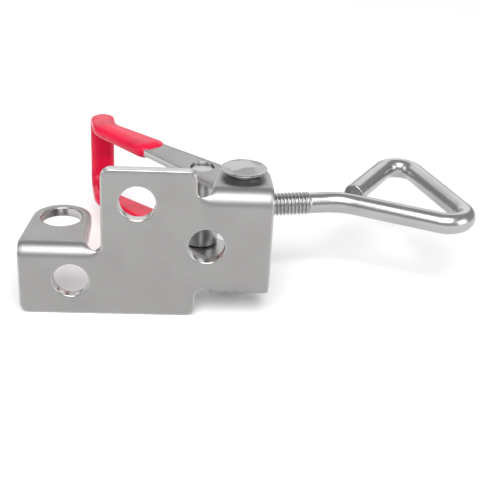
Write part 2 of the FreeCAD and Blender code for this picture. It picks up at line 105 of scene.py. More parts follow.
class Signal:
    """One output of a shader node, which can be added, scaled and mixed like a number."""

    def __init__(self, bench: "Bench", socket: bpy.types.NodeSocket) -> None:
        """Keep the socket and the bench that it is on.

        Args:
            bench: The bench whose node tree holds the socket.
            socket: The output socket.
        """
        self.bench = bench
        self.socket = socket

    def __add__(self, other: "Signal | float") -> "Signal":
        """Sum of the two."""
        return self.bench.math("ADD", self, other)

    def __sub__(self, other: "Signal | float") -> "Signal":
        """This less the other."""
        return self.bench.math("SUBTRACT", self, other)

    def __rsub__(self, other: float) -> "Signal":
        """A number less this."""
        return self.bench.math("SUBTRACT", other, self)

    def __mul__(self, other: "Signal | float") -> "Signal":
        """Product of the two."""
        return self.bench.math("MULTIPLY", self, other)

    __radd__ = __add__
    __rmul__ = __mul__

    def ramp(self, low: float, high: float) -> "Signal":
        """Turn the span from low to high into 0 to 1, with soft ends.

        Args:
            low: Value that becomes 0.
            high: Value that becomes 1.

        Returns:
            The mapped signal.
        """
        settings = {"interpolation_type": "SMOOTHSTEP"}
        values = {"Value": self, "From Min": low, "From Max": high, "To Min": 0.0, "To Max": 1.0}
        return self.bench.signal("ShaderNodeMapRange", "Result", settings, values)


class Bench:
    """A material under construction, and the one place where its nodes are made."""

    def __init__(self, name: str) -> None:
        """Start a material with an empty node tree.

        Args:
            name: The material's name.
        """
        self.material = bpy.data.materials.new(name)
        self.material.use_nodes = True
        self.tree = self.material.node_tree
        self.tree.nodes.clear()

    def node(self, kind: str, settings: dict[str, Any] | None = None,
             values: dict[str | int, Any] | None = None) -> bpy.types.Node:
        """Make a node.

        Args:
            kind: The node's type name.
            settings: Properties of the node, set before its sockets.
            values: Numbers, tuples, signals or sockets for its inputs, by name or place.

        Returns:
            The node.
        """
        made = self.tree.nodes.new(kind)
        for name, setting in (settings or {}).items():
            setattr(made, name, setting)
        for name, value in (values or {}).items():
            target = made.inputs[name]
            if isinstance(value, Signal):
                self.tree.links.new(value.socket, target)
            else:
                target.default_value = value
        return made

    def signal(self, kind: str, output: str | int, settings: dict[str, Any] | None = None,
               values: dict[str | int, Any] | None = None) -> Signal:
        """Make a node and return one of its outputs as a signal.

        Args:
            kind: The node's type name.
            output: Name or place of the output.
            settings: Properties of the node.
            values: Values or signals for its inputs.

        Returns:
            The output.
        """
        return Signal(self, self.node(kind, settings, values).outputs[output])

    def math(self, operation: str, first: Signal | float, second: Signal | float) -> Signal:
        """Join two values with a Math node.

        Args:
            operation: The Math node's operation.
            first: First value.
            second: Second value.

        Returns:
            The result.
        """
        return self.signal("ShaderNodeMath", "Value", {"operation": operation},
                           {0: first, 1: second})

    def grain(self) -> Signal:
        """The piece's own coordinates in millimetres, unbent and unrolled."""
        return self.signal("ShaderNodeAttribute", "Vector", {"attribute_name": "grain"})

    def edge(self) -> Signal:
        """How near to a rolled edge the surface is, from 0 to 1."""
        return self.signal("ShaderNodeAttribute", "Fac", {"attribute_name": "edge"})

    def stretched(self, scales: Triple) -> Signal:
        """The piece's coordinates, scaled by a different number along each axis.

        Args:
            scales: Scale along each axis.

        Returns:
            The scaled coordinates.
        """
        return self.signal("ShaderNodeVectorMath", "Vector", {"operation": "MULTIPLY"},
                           {0: self.grain(), 1: scales})

    def noise(self, scales: Triple, detail: float = 2.0, roughness: float = 0.5) -> Signal:
        """Noise over the piece's coordinates.

        Args:
            scales: Features per millimetre along each axis.
            detail: Octaves.
            roughness: Weight of the finer octaves.

        Returns:
            The noise, from 0 to 1.
        """
        values = {"Vector": self.stretched(scales), "Scale": 1.0, "Detail": detail,
                  "Roughness": roughness}
        return self.signal("ShaderNodeTexNoise", "Fac", None, values)

    def mix(self, factor: Signal, first: Colour, second: Colour | Signal) -> Signal:
        """Mix two colours.

        Args:
            factor: 0 gives the first, 1 the second.
            first: First colour.
            second: Second colour, or a signal.

        Returns:
            The mixed colour.
        """
        end = second if isinstance(second, Signal) else (*second, 1.0)
        return self.signal("ShaderNodeMix", 2, {"data_type": "RGBA"},
                           {0: factor, 6: (*first, 1.0), 7: end})

    def bump(self, height: Signal, distance: float, strength: float = 1.0) -> Signal:
        """Turn a height into a normal.

        Args:
            height: Height from 0 to 1.
            distance: Depth of the relief in millimetres.
            strength: Share of the effect.

        Returns:
            The normal.
        """
        return self.signal("ShaderNodeBump", "Normal", None,
                           {"Height": height, "Distance": distance * MM, "Strength": strength})

    def finish(self, values: dict[str | int, Any]) -> bpy.types.Material:
        """Close the material with its surface shader.

        Args:
            values: Inputs of the surface shader.

        Returns:
            The material.
        """
        surface = self.signal("ShaderNodeBsdfPrincipled", "BSDF", None, values)
        self.node("ShaderNodeOutputMaterial", None, {"Surface": surface})
        return self.material


@dataclass(frozen=True)
class SteelFinish:
    """Stainless steel: fine grain along one direction, faint clouding, hairlines, bright edges."""

    name: str
    tone: Colour = (0.335, 0.33, 0.325)
    cloud: Colour = (0.315, 0.31, 0.305)
    polish: Colour = (0.62, 0.61, 0.60)
    roughness: float = 0.40
    roughness_swing: float = 0.08
    edge_roughness: float = 0.16
    grain: Triple = (0.25, 9.0, 9.0)
    grain_depth: float = 0.0012
    cloud_size: float = 0.12
    scratch_depth: float = 0.002

    def make(self) -> bpy.types.Material:
        """Build the material.

        Returns:
            The finished material.
        """
        bench = Bench(self.name)
        lines = bench.noise(self.grain, detail=4.0, roughness=0.6)
        clouds = bench.noise((self.cloud_size,) * 3, detail=3.0)
        hair = bench.noise((0.35, 3.1, 2.7), detail=1.0).ramp(0.70, 0.76)
        cross = bench.noise((2.3, 0.28, 2.9), detail=1.0).ramp(0.72, 0.78)
        marks = bench.math("MAXIMUM", hair, cross)
        edge = bench.edge()
        body = bench.mix(clouds.ramp(0.35, 0.7), self.tone, self.cloud)
        colour = bench.signal("ShaderNodeMix", 2, {"data_type": "RGBA"},
                              {0: edge * 0.6, 6: body, 7: (*self.polish, 1.0)})
        rough = self.roughness + (lines - 0.5) * self.roughness_swing + (clouds - 0.5) * 0.06
        rough = rough + marks * 0.05 + edge * (self.edge_roughness - self.roughness)
        height = lines * self.grain_depth - marks * self.scratch_depth
        normal = bench.bump(height, 1.0)
        return bench.finish({"Base Color": colour, "Metallic": 1.0, "Roughness": rough,
                             "Normal": normal, "IOR": 2.2})


@dataclass(frozen=True)
class VinylFinish:
    """Glossy dipped vinyl: deep colour, faint streaks of the dip, soft orange peel, clear shine."""

    name: str
    tone: Colour = (0.72, 0.008, 0.05)
    deep: Colour = (0.54, 0.005, 0.036)
    roughness: float = 0.28
    coat: float = 0.12
    peel_depth: float = 0.02

    def make(self) -> bpy.types.Material:
        """Build the material.

        Returns:
            The finished material.
        """
        bench = Bench(self.name)
        cloud = bench.noise((0.10, 0.22, 0.22), detail=2.0)
        peel = bench.noise((0.9, 0.9, 0.9), detail=2.0, roughness=0.4)
        dust = bench.noise((6.0, 6.0, 6.0), detail=2.0).ramp(0.66, 0.8)
        colour = bench.mix(cloud.ramp(0.3, 0.75), self.tone, self.deep)
        rough = self.roughness + (cloud - 0.5) * 0.08 + dust * 0.08
        normal = bench.bump(peel, self.peel_depth)
        return bench.finish({"Base Color": colour, "Roughness": rough, "Normal": normal,
                             "IOR": 1.5, "Coat Weight": self.coat, "Coat Roughness": 0.16,
                             "Coat IOR": 1.45, "Specular IOR Level": 0.18})


@dataclass(frozen=True)
class FloorFinish:
    """Plain pale board with a breath of unevenness."""

    name: str = "pale_board"
    tone: Colour = (0.93, 0.93, 0.93)
    shade: Colour = (0.91, 0.91, 0.91)

    def make(self) -> bpy.types.Material:
        """Build the material.

        Returns:
            The finished material.
        """
        bench = Bench(self.name)
        place = bench.signal("ShaderNodeTexCoord", "Object")
        cloud = bench.signal("ShaderNodeTexNoise", "Fac", None, {"Vector": place, "Scale": 3.0})
        colour = bench.mix(cloud, self.tone, self.shade)
        return bench.finish({"Base Color": colour, "Roughness": 0.85, "Specular IOR Level": 0.1})


# ------------------------------------------------------------------------------- outlines


def arc_points(centre: Sequence[float], radius: float, start: float, end: float,
               step: float = 5.0) -> Loop:
    """Points along an arc, both ends included.

    Args:
        centre: Centre of the arc.
        radius: Radius.
        start: First angle in degrees.
        end: Last angle in degrees; the arc runs from start to end directly.
        step: Largest angle between two points.

    Returns:
        The points.
    """
    count = max(2, int(abs(end - start) / step) + 1)
    angles = [math.radians(start + (end - start) * i / count) for i in range(count + 1)]
    return [(centre[0] + radius * math.cos(a), centre[1] + radius * math.sin(a)) for a in angles]


def round_hole(centre: Sequence[float], radius: float) -> Loop:
    """A hole's edge, with the material on the left of its direction."""
    return arc_points(centre, radius, 360.0, 0.0)[:-1]


def rounded(corners: Sequence[Corner]) -> Loop:
    """Round the corners of a closed outline.

    Args:
        corners: X, Y and corner radius of each corner, in order.

    Returns:
        The outline's points.
    """
    points: Loop = []
    for place, (x, y, radius) in enumerate(corners):
        here = Vector((x, y))
        if radius <= 0.0:
            points.append((x, y))
            continue
        back = (Vector(corners[place - 1][:2]) - here).normalized()
        ahead = (Vector(corners[(place + 1) % len(corners)][:2]) - here).normalized()
        half = back.angle(ahead) / 2
        middle = here + (back + ahead).normalized() * (radius / math.sin(half))
        first = here + back * (radius / math.tan(half)) - middle
        last = here + ahead * (radius / math.tan(half)) - middle
        begin = math.degrees(math.atan2(first.y, first.x))
        sweep = math.degrees(math.atan2(last.y, last.x)) - begin
        sweep = (sweep + 180.0) % 360.0 - 180.0
        points.extend(arc_points(middle, radius, begin, begin + sweep))
    return points


def touch(outside: Sequence[float], centre: Sequence[float], radius: float, side: int) -> float:
    """Angle, in degrees, at which a line from outside a circle touches it.

    Args:
        outside: The point outside.
        centre: The circle's centre.
        radius: The circle's radius.
        side: +1 or -1, which of the two lines.

    Returns:
        The angle about the centre.
    """
    across, up = outside[0] - centre[0], outside[1] - centre[1]
    spread = math.acos(radius / math.hypot(across, up))
    return math.degrees(math.atan2(up, across) + side * spread)


def inset(loop: Loop, distance: float) -> np.ndarray:
    """Move a closed outline towards the material, which is on its left.

    Args:
        loop: The outline.
        distance: How far each side moves.

    Returns:
        The moved points, one for each point of the outline.
    """
    here = np.array(loop)
    ahead = np.roll(here, -1, axis=0) - here
    ahead /= np.linalg.norm(ahead, axis=1)[:, None]
    behind = np.roll(ahead, 1, axis=0)
    left = np.stack([-ahead[:, 1], ahead[:, 0]], axis=1)
    left_before = np.stack([-behind[:, 1], behind[:, 0]], axis=1)
    meet = 1.0 + np.sum(left * left_before, axis=1)
    return here + (left + left_before) / meet[:, None] * distance


# ------------------------------------------------------------------------------- meshes


@dataclass
class Shell:
    """A mesh in millimetres, with what its finish needs to know at each point."""

    points: np.ndarray
    faces: list[tuple[int, ...]]
    grain: np.ndarray
    edge: np.ndarray | None = None
    normals: np.ndarray | None = None

    def to_object(self, name: str) -> bpy.types.Object:
        """Make the Blender object.

        Args:
            name: The object's name.

        Returns:
            The object, linked to the scene.
        """
        if self.normals is not None:
            self._face_outwards()
        mesh = bpy.data.meshes.new(name)
        mesh.from_pydata((self.points * MM).tolist(), [], self.faces)
        mesh.validate(clean_customdata=False)
        mesh.shade_smooth()
        store = mesh.attributes.new("grain", "FLOAT_VECTOR", "POINT")
        store.data.foreach_set("vector", np.asarray(self.grain, np.float32).ravel())
        edge = np.zeros(len(self.points)) if self.edge is None else self.edge
        store = mesh.attributes.new("edge", "FLOAT", "POINT")
        store.data.foreach_set("value", np.asarray(edge, np.float32))
        if self.normals is not None:
            mesh.normals_split_custom_set_from_vertices(self.normals.tolist())
        mesh.update()
        made = bpy.data.objects.new(name, mesh)
        bpy.context.scene.collection.objects.link(made)
        return made

    def _face_outwards(self) -> None:
        """Turn over each face that looks against its points' normals."""
        for place, corners in enumerate(self.faces):
            spots = self.points[list(corners)]
            ahead = np.roll(spots, -1, axis=0)
            normal = np.cross(spots - spots.mean(0), ahead - spots.mean(0)).sum(0)
            if normal @ self.normals[list(corners)].sum(0) < 0.0:
                self.faces[place] = tuple(reversed(corners))


@dataclass(frozen=True)
class EdgeRoll:
    """How a blanked edge is shaped: a long shallow sag and a round nose, and a small back break.

    A groove is a coined line that runs along inside the edge, on the front face only.
    """

    reach: float = 1.4
    sag: float = 0.09
    nose: float = 0.30
    back: float = 0.15
    groove_at: float = 0.0
    groove_half: float = 0.2
    groove_depth: float = 0.0
    steps: int = 5

    def rings(self, thickness: float) -> list[tuple[float, float, float, float]]:
        """Sections of the edge from the front face to the back face.

        Args:
            thickness: The sheet's thickness.

        Returns:
            For each ring its inset, its depth, and the outward and depthward parts of the normal.
        """
        rings = []
        if self.groove_depth > 0.0:
            tilt = math.atan(self.groove_depth / self.groove_half)
            for side, share, lean in ((1.0, 0.0, 0.0), (0.5, 0.5, 1.0), (0.0, 1.0, 0.0),
                                      (-0.5, 0.5, -1.0), (-1.0, 0.0, 0.0)):
                rings.append((self.groove_at + side * self.groove_half,
                              self.groove_depth * share, math.sin(lean * tilt),
                              -math.cos(lean * tilt)))
        run = self.reach - self.nose
        for i in range(self.steps + 1):
            share = i / self.steps
            lean = math.atan(2 * self.sag * share / run)
            rings.append((self.reach - run * share, self.sag * share ** 2, math.sin(lean),
                          -math.cos(lean)))
        start = lean
        for i in range(1, self.steps + 1):
            angle = start + (math.pi / 2 - start) * i / self.steps
            rings.append((self.nose * (1 - math.sin(angle)),
                          self.sag + self.nose * (1 - math.cos(angle)),
                          math.sin(angle), -math.cos(angle)))
        for i in range(self.steps, -1, -1):
            angle = math.pi / 2 * i / self.steps
            rings.append((self.back * (1 - math.sin(angle)),
                          thickness - self.back * (1 - math.cos(angle)),
                          math.sin(angle), math.cos(angle)))
        return rings


@dataclass
class Blank:
    """A flat sheet blank: one outer outline, holes, a thickness and rolled edges."""

    outline: Loop
    holes: list[Loop]
    thickness: float
    roll: EdgeRoll = field(default_factory=EdgeRoll)
    hole_roll: EdgeRoll = field(default_factory=EdgeRoll)
    cuts: list[tuple[int, float]] = field(default_factory=list)

    def build(self) -> Shell:
        """Build the flat blank, cut across wherever it will bend.

        Returns:
            The shell, whose points are still flat: along, across and depth.
        """
        points, normals, edges, faces = [], [], [], []
        caps: dict[Face, list[list[int]]] = {Face.FRONT: [], Face.BACK: []}
        for loop, roll in [(self.outline, self.roll)] + [(h, self.hole_roll) for h in self.holes]:
            rings = []
            flat = np.array(loop)
            outward = flat - inset(loop, 1.0)
            outward /= np.linalg.norm(outward, axis=1)[:, None]
            for shift, depth, out, up in roll.rings(self.thickness):
                ring = inset(loop, shift)
                start = len(points)
                rings.append(list(range(start, start + len(ring))))
                near = max(0.0, 1.0 - shift / (1.5 * roll.nose)) if up <= 0.0 else 0.3
                for spot, away in zip(ring, outward):
                    points.append((spot[0], spot[1], depth))
                    normals.append((away[0] * out, away[1] * out, up))
                    edges.append(near)
            for upper, lower in zip(rings, rings[1:]):
                count = len(upper)
                for i in range(count):
                    j = (i + 1) % count
                    faces.append((upper[i], lower[i], lower[j], upper[j]))
            caps[Face.FRONT].append(rings[0])
            caps[Face.BACK].append(rings[-1])
        for rims in caps.values():
            faces.extend(self._cap(points, rims))
        return self._cut(points, normals, edges, faces)

    def _cap(self, points: list, rims: list[list[int]]) -> list[tuple[int, ...]]:
        """Fill one face of the sheet.

        Args:
            points: Flat points.
            rims: The rim of the outline, then those of the holes.

        Returns:
            Triangles between the rims.
        """
        order = [index for rim in rims for index in rim]
        spots = [Vector(points[i][:2]) for i in order]
        sides, start = [], 0
        for rim in rims:
            sides += [(start + i, start + (i + 1) % len(rim)) for i in range(len(rim))]
            start += len(rim)
        _, _, fill, source, _, _ = delaunay_2d_cdt(spots, sides, [], 1, 1e-6)
        middles = [sum(points[i][0] for i in rim) / len(rim) for rim in rims[1:]]
        heights = [sum(points[i][1] for i in rim) / len(rim) for rim in rims[1:]]
        radii = [math.dist(points[rim[0]][:2], (x, y))
                 for rim, x, y in zip(rims[1:], middles, heights)]
        kept = []
        for corners in fill:
            picks = tuple(order[source[i][0]] for i in corners)
            x = sum(points[i][0] for i in picks) / 3
            y = sum(points[i][1] for i in picks) / 3
            if all(math.dist((x, y), (a, b)) > r for a, b, r in zip(middles, heights, radii)):
                kept.append(picks)
        return kept

    def _cut(self, points: list, normals: list, edges: list, faces: list) -> Shell:
        """Cut the mesh across at each wanted line, so that it can bend there.

        Args:
            points: Flat points.
            normals: Flat normals.
            edges: Nearness to an edge.
            faces: Faces.

        Returns:
            The finished shell.
        """
        work = bmesh.new()
        normal_layer = work.verts.layers.float_vector.new("flat_normal")
        edge_layer = work.verts.layers.float.new("flat_edge")
        for point, normal, near in zip(points, normals, edges):
            vertex = work.verts.new(point)
            vertex[normal_layer] = normal
            vertex[edge_layer] = near
        work.verts.ensure_lookup_table()
        for face in faces:
            work.faces.new([work.verts[i] for i in face])
        for axis, place in self.cuts:
            across = [0.0, 0.0, 0.0]
            across[axis] = 1.0
            spot = [0.0, 0.0, 0.0]
            spot[axis] = place
            everything = list(work.verts) + list(work.edges) + list(work.faces)
            bmesh.ops.bisect_plane(work, geom=everything, dist=1e-5, plane_co=spot,
                                   plane_no=across)
        bmesh.ops.recalc_face_normals(work, faces=list(work.faces))
        work.verts.index_update()
        spots = np.array([tuple(v.co) for v in work.verts])
        shell = Shell(spots, [tuple(v.index for v in f.verts) for f in work.faces], spots.copy(),
                      np.array([v[edge_layer] for v in work.verts]),
                      np.array([tuple(v[normal_layer]) for v in work.verts]))
        work.free()
        return shell


@dataclass(frozen=True)
class Bend:
    """A quarter bend across a sheet, away from the front face.

    start is where it begins along the sheet, and way is +1 or -1, the side that bends.  Where the
    bend ends beside a relief, it fades out over the sheet from full to none.
    """

    start: float
    way: int
    radius: float
    thickness: float
    full: float = 0.0
    none: float | None = None

    @property
    def length(self) -> float:
        """Length of the bend along the middle of the sheet."""
        return math.pi / 2 * (self.radius - self.thickness / 2)

    def cuts(self, count: int = 10) -> list[float]:
        """Where the sheet needs edges to bend smoothly."""
        return [self.start + self.way * self.length * i / count for i in range(count + 1)]

    def apply(self, flat: np.ndarray, normals: np.ndarray) -> tuple[np.ndarray, ...]:
        """Bend points that lie flat.

        Args:
            flat: Points as along the bend line, along the sheet, and depth.
            normals: Their normals in the same order.

        Returns:
            Points and normals as across, back and up, and the share of the bend at each point.
        """
        run = np.maximum(self.way * (flat[:, 1] - self.start), 0.0)
        angle = np.clip(run / self.length, 0.0, 1.0) * math.pi / 2
        rest = np.maximum(run - self.length, 0.0)
        reach = self.radius - flat[:, 2]
        back = self.radius - reach * np.cos(angle) + rest
        up = self.start + self.way * reach * np.sin(angle)
        along = self.way * normals[:, 1]
        depth = normals[:, 2]
        turned = np.stack([normals[:, 0], depth * np.cos(angle) + along * np.sin(angle),
                           self.way * (along * np.cos(angle) - depth * np.sin(angle))], axis=1)
        share = (run > 0.0).astype(float)
        if self.none is not None:
            fade = np.clip((flat[:, 0] - self.none) / (self.full - self.none), 0.0, 1.0)
            share *= fade * fade * (3.0 - 2.0 * fade)
        return np.stack([flat[:, 0], back, up], axis=1), turned, share


def turned_shell(profile: Sequence[tuple[float, float]], segments: int = 96,
                 relief: Callable[[float, float, float], float] | None = None) -> Shell:
    """Turn a profile about the vertical axis.

    Args:
        profile: Radius and height of each ring, from one end on the axis to the other.
        segments: Points in each ring.
        relief: Lifts a point, given its radius, angle and height.

    Returns:
        The shell.
    """
    points: list[tuple[float, float, float]] = []
    rings: list[list[int]] = []
    for radius, height in profile:
        if radius < 1e-6:
            lift = relief(0.0, 0.0, height) if relief else 0.0
            rings.append([len(points)])
            points.append((0.0, 0.0, height + lift))
            continue
        ring = []
        for i in range(segments):
            angle = 2 * math.pi * i / segments
            lift = relief(radius, angle, height) if relief else 0.0
            ring.append(len(points))
            points.append((radius * math.cos(angle), radius * math.sin(angle), height + lift))
        rings.append(ring)
    faces: list[tuple[int, ...]] = []
    for lower, upper in zip(rings, rings[1:]):
        for i in range(segments):
            j = (i + 1) % segments
            if len(lower) == 1:
                faces.append((lower[0], upper[j], upper[i]))
            elif len(upper) == 1:
                faces.append((lower[i], lower[j], upper[0]))
            else:
                faces.append((lower[i], lower[j], upper[j], upper[i]))
    spots = np.array(points)
    return Shell(spots, faces, spots.copy())


def eased_profile(corners: Sequence[Corner], step: float = 15.0) -> list[tuple[float, float]]:
    """Round the corners of an open profile.

    Args:
        corners: Radius, height and rounding of each corner.
        step: Largest angle between points of a rounding.

    Returns:
        The profile's points.
    """
    points = [tuple(corners[0][:2])]
    for place in range(1, len(corners) - 1):
        here = Vector(corners[place][:2])
        radius = corners[place][2]
        if radius <= 0.0:
            points.append((here.x, here.y))
            continue
        back = (Vector(corners[place - 1][:2]) - here).normalized()
        ahead = (Vector(corners[place + 1][:2]) - here).normalized()
        half = back.angle(ahead) / 2
        middle = here + (back + ahead).normalized() * (radius / math.sin(half))
        first = here + back * (radius / math.tan(half)) - middle
        last = here + ahead * (radius / math.tan(half)) - middle
        begin = math.degrees(math.atan2(first.y, first.x))
        sweep = (math.degrees(math.atan2(last.y, last.x)) - begin + 180.0) % 360.0 - 180.0
        points.extend(arc_points(middle, radius, begin, begin + sweep, step))
    points.append(tuple(corners[-1][:2]))
    return points


def sharpen(made: bpy.types.Object, angle: float = 40.0) -> None:
    """Keep a piece's crisp edges crisp.

    Args:
        made: The piece.
        angle: Edges that turn by more than this many degrees stay sharp.
    """
    work = bmesh.new()
    work.from_mesh(made.data)
    for edge in work.edges:
        if len(edge.link_faces) == 2 and edge.calc_face_angle(0.0) > math.radians(angle):
            edge.smooth = False
    work.to_mesh(made.data)
    work.free()


def settle(made: bpy.types.Object) -> bpy.types.Object:
    """Apply a piece's modifiers to its mesh.

    Args:
        made: The piece.

    Returns:
        The same piece.
    """
    view = bpy.context.evaluated_depsgraph_get()
    mesh = bpy.data.meshes.new_from_object(made.evaluated_get(view))
    made.modifiers.clear()
    made.data = mesh
    return made


def own_grain(made: bpy.types.Object, back_to_own: Matrix | None = None) -> None:
    """Store a piece's grain coordinates from its own shape.

    Args:
        made: The piece.
        back_to_own: Takes a point in metres to the piece's own axes, where it isn't there now.
    """
    matrix = back_to_own or Matrix.Identity(4)
    spots = np.array([tuple(matrix @ v.co) for v in made.data.vertices]) / MM
    for name, kind, key, values in (("grain", "FLOAT_VECTOR", "vector", spots),
                                    ("edge", "FLOAT", "value", np.zeros(len(spots)))):
        if name not in made.data.attributes:
            made.data.attributes.new(name, kind, "POINT")
        made.data.attributes[name].data.foreach_set(key, values.astype(np.float32).ravel())


def present(made: bpy.types.Object, body: Body, node: str,
            finish: bpy.types.Material) -> bpy.types.Object:
    """Dress a finished piece, and let it stand for its node.

    Args:
        made: The piece.
        body: The group that it rides on.
        node: The node that it replaces.
        finish: Its material.

    Returns:
        The piece.
    """
    made.data.materials.clear()
    made.data.materials.append(finish)
    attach(made, body.value)
    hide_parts(node)
    low, high = (np.array(made.bound_box).min(0), np.array(made.bound_box).max(0))
    LOG.info("%s: %d faces, %.1f x %.1f x %.1f mm", made.name, len(made.data.polygons),
             *((high - low) / MM))
    return made


def joint_place(name: str) -> Vector:
    """A joint's place in the row frame, in millimetres."""
    joint = next(j for j in frame["record"]["behaviour"]["joints"] if j["name"] == name)
    return Vector(joint["pos_m"]) / MM


def joint_axis(name: str) -> Vector:
    """A joint's axis in the row frame."""
    joint = next(j for j in frame["record"]["behaviour"]["joints"] if j["name"] == name)
    return Vector(joint["axis"]).normalized()


# ------------------------------------------------------------------------------- bracket


@dataclass
class Bracket:
    """The pressed bracket: plate, lock tab and two pivot ears, bent from one blank."""

    thickness: float = 2.0
    length: float = 50.25
    high_top: float = 32.0
    corner: float = 2.0
    low_arm_end: float = 35.3
    low_relief_ceiling: float = 6.2
    ear_left: float = 38.2
    ear_radius: float = 3.7
    ear_half_span: float = 11.85
    ear_end: float = 5.45
    middle: float = 16.0
    notch_left: float = 35.3
    notch_floor: float = 26.4
    high_left: float = 16.55
    slot_floor: float = 14.0
    tab_width: float = 13.55
    tab_taper: float = 1.1
    tab_level: float = 15.15
    tab_radius: float = 3.05
    tab_hole_reach: float = 13.7
    tab_end: float = 6.1
    tab_hole: float = 4.25
    mount_hole: float = 3.6
    pivot_x: float = 44.5
    pivot_reach: float = 9.2
    rivet_hole: float = 2.5
    mount_places: tuple[tuple[float, float], ...] = ((10.45, 7.7), (23.7, 25.0), (37.4, 16.0))
    press_mark: float = 0.09

    def bends(self) -> dict[str, Bend]:
        """The three bends of the blank.

        Returns:
            The bends, by the name of the flange that each turns.
        """
        top = self.middle + self.ear_half_span - self.ear_radius
        bottom = self.middle - self.ear_half_span + self.ear_radius
        return {
            "tab": Bend(self.tab_level - self.tab_radius, 1, self.tab_radius, self.thickness,
                        full=self.tab_width, none=self.high_left - 0.1),
            "upper_ear": Bend(top, 1, self.ear_radius, self.thickness,
                              full=self.ear_left, none=self.notch_left + 0.1),
            "lower_ear": Bend(bottom, -1, self.ear_radius, self.thickness,
                              full=self.ear_left, none=self.notch_left + 0.1),
        }

    def flat_centre(self, bend: Bend, reach: float) -> float:
        """Where a point that stands at some reach behind the plate lies in the flat blank."""
        return bend.start + bend.way * (bend.length + reach - bend.radius)

    def tongue(self, bend: Bend, left: float, right: float, centre_x: float, reach: float,
               radius: float, lift: float = 0.0) -> Loop:
        """Outline of a flange beyond its bend, from its right side over its end to its left.

        Args:
            bend: The flange's bend.
            left: Left side at the bend.
            right: Right side at the bend.
            centre_x: Middle of the round end, across.
            reach: Middle of the round end, behind the plate.
            radius: Radius of the round end.
            lift: How far past the bend its right side starts.

        Returns:
            The points, in order for a flange that points up; a lower one is turned round.
        """
        root = bend.start + bend.way * bend.length
        centre = (centre_x, self.flat_centre(bend, reach))
        first = touch((right, root + lift), centre, radius, bend.way)
        last = touch((left, root), centre, radius, -bend.way)
        if bend.way > 0:
            last += 360.0 if last < first else 0.0
        else:
            last -= 360.0 if last > first else 0.0
        return [(right, root + lift)] + arc_points(centre, radius, first, last) + [(left, root)]

    def blank(self) -> Blank:
        """Lay out the flat blank with its holes and the lines that it is cut at.

        Returns:
            The blank, ready to be built and bent.
        """
        bends = self.bends()
        tab_middle = (self.tab_width + self.tab_taper) / 2
        tab = self.tongue(bends["tab"], 0.0, self.tab_width, tab_middle, self.tab_hole_reach,
                          self.tab_end, lift=0.4)
        upper = self.tongue(bends["upper_ear"], self.ear_left, self.length, self.pivot_x,
                            self.pivot_reach, self.ear_end)
        lower = self.tongue(bends["lower_ear"], self.ear_left, self.length, self.pivot_x,
                            self.pivot_reach, self.ear_end)
        notch_radius = (self.ear_left - self.notch_left) / 2 * 0.98
        slot_radius = (self.high_left - self.tab_width) / 2 * 0.98
        # each run of plain corners starts and ends on a straight stretch between the flanges
        low_run = rounded([(0.0, 12.0, 0.0), (0.0, 0.0, self.corner),
                           (self.low_arm_end, 0.0, self.corner),
                           (self.low_arm_end, self.low_relief_ceiling, self.corner),
                           (self.ear_left, self.low_relief_ceiling, 0.0)])
        high_run = rounded([(self.ear_left, self.notch_floor + 0.01 + notch_radius, 0.0),
                            (self.ear_left, self.notch_floor, notch_radius),
                            (self.notch_left, self.notch_floor, notch_radius),
                            (self.notch_left, self.high_top, self.corner),
                            (self.high_left, self.high_top, self.corner),
                            (self.high_left, self.slot_floor, slot_radius),
                            (self.tab_width, self.slot_floor, slot_radius),
                            (self.tab_width, self.slot_floor + 0.01 + slot_radius, 0.0)])
        outline = low_run[1:] + lower[::-1] + upper + high_run[1:-1] + tab
        holes = [round_hole(place, self.mount_hole) for place in self.mount_places]
        holes.append(round_hole((tab_middle, self.flat_centre(bends["tab"], self.tab_hole_reach)),
                                self.tab_hole))
        for name in ("upper_ear", "lower_ear"):
            centre = (self.pivot_x, self.flat_centre(bends[name], self.pivot_reach))
            holes.append(round_hole(centre, self.rivet_hole))
        cuts = [(1, place) for bend in bends.values() for place in bend.cuts()]
        for bend in bends.values():
            end = bend.start + bend.way * bend.length
            cuts += [(1, end + bend.way * 0.15 * step) for step in range(1, 9)]
            cuts += [(0, bend.none + (bend.full - bend.none) * step / 5) for step in range(6)]
        return Blank(outline, holes, self.thickness, EdgeRoll(1.2, 0.09, 0.32, 0.15),
                     EdgeRoll(0.42, 0.04, 0.25, 0.15), cuts)

    def build(self) -> bpy.types.Object:
        """Bend the blank.

        Returns:
            The piece, not yet dressed.
        """
        shell = self.blank().build()
        flat, flat_normals = shell.points.copy(), shell.normals.copy()
        points = np.stack([flat[:, 0], flat[:, 2], flat[:, 1]], axis=1)
        normals = np.stack([flat_normals[:, 0], flat_normals[:, 2], flat_normals[:, 1]], axis=1)
        for bend in self.bends().values():
            run = bend.way * (flat[:, 1] - bend.start) - bend.length
            marked = flat.copy()
            ridge = np.clip(1.0 - np.abs(run - 0.6) / 0.4, 0.0, 1.0)
            marked[:, 2] += self.press_mark * ridge * ridge * (3.0 - 2.0 * ridge)
            bent, turned, share = bend.apply(marked, flat_normals)
            points += (bent - points) * share[:, None]
            normals += (turned - normals) * share[:, None]
        normals /= np.linalg.norm(normals, axis=1)[:, None]
        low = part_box("base_bracket")[0] / MM
        shell.points = points + np.array([low.x, low.y, low.z])
        shell.normals = normals
        return shell.to_object("bracket")


# ------------------------------------------------------------------------------- rivets


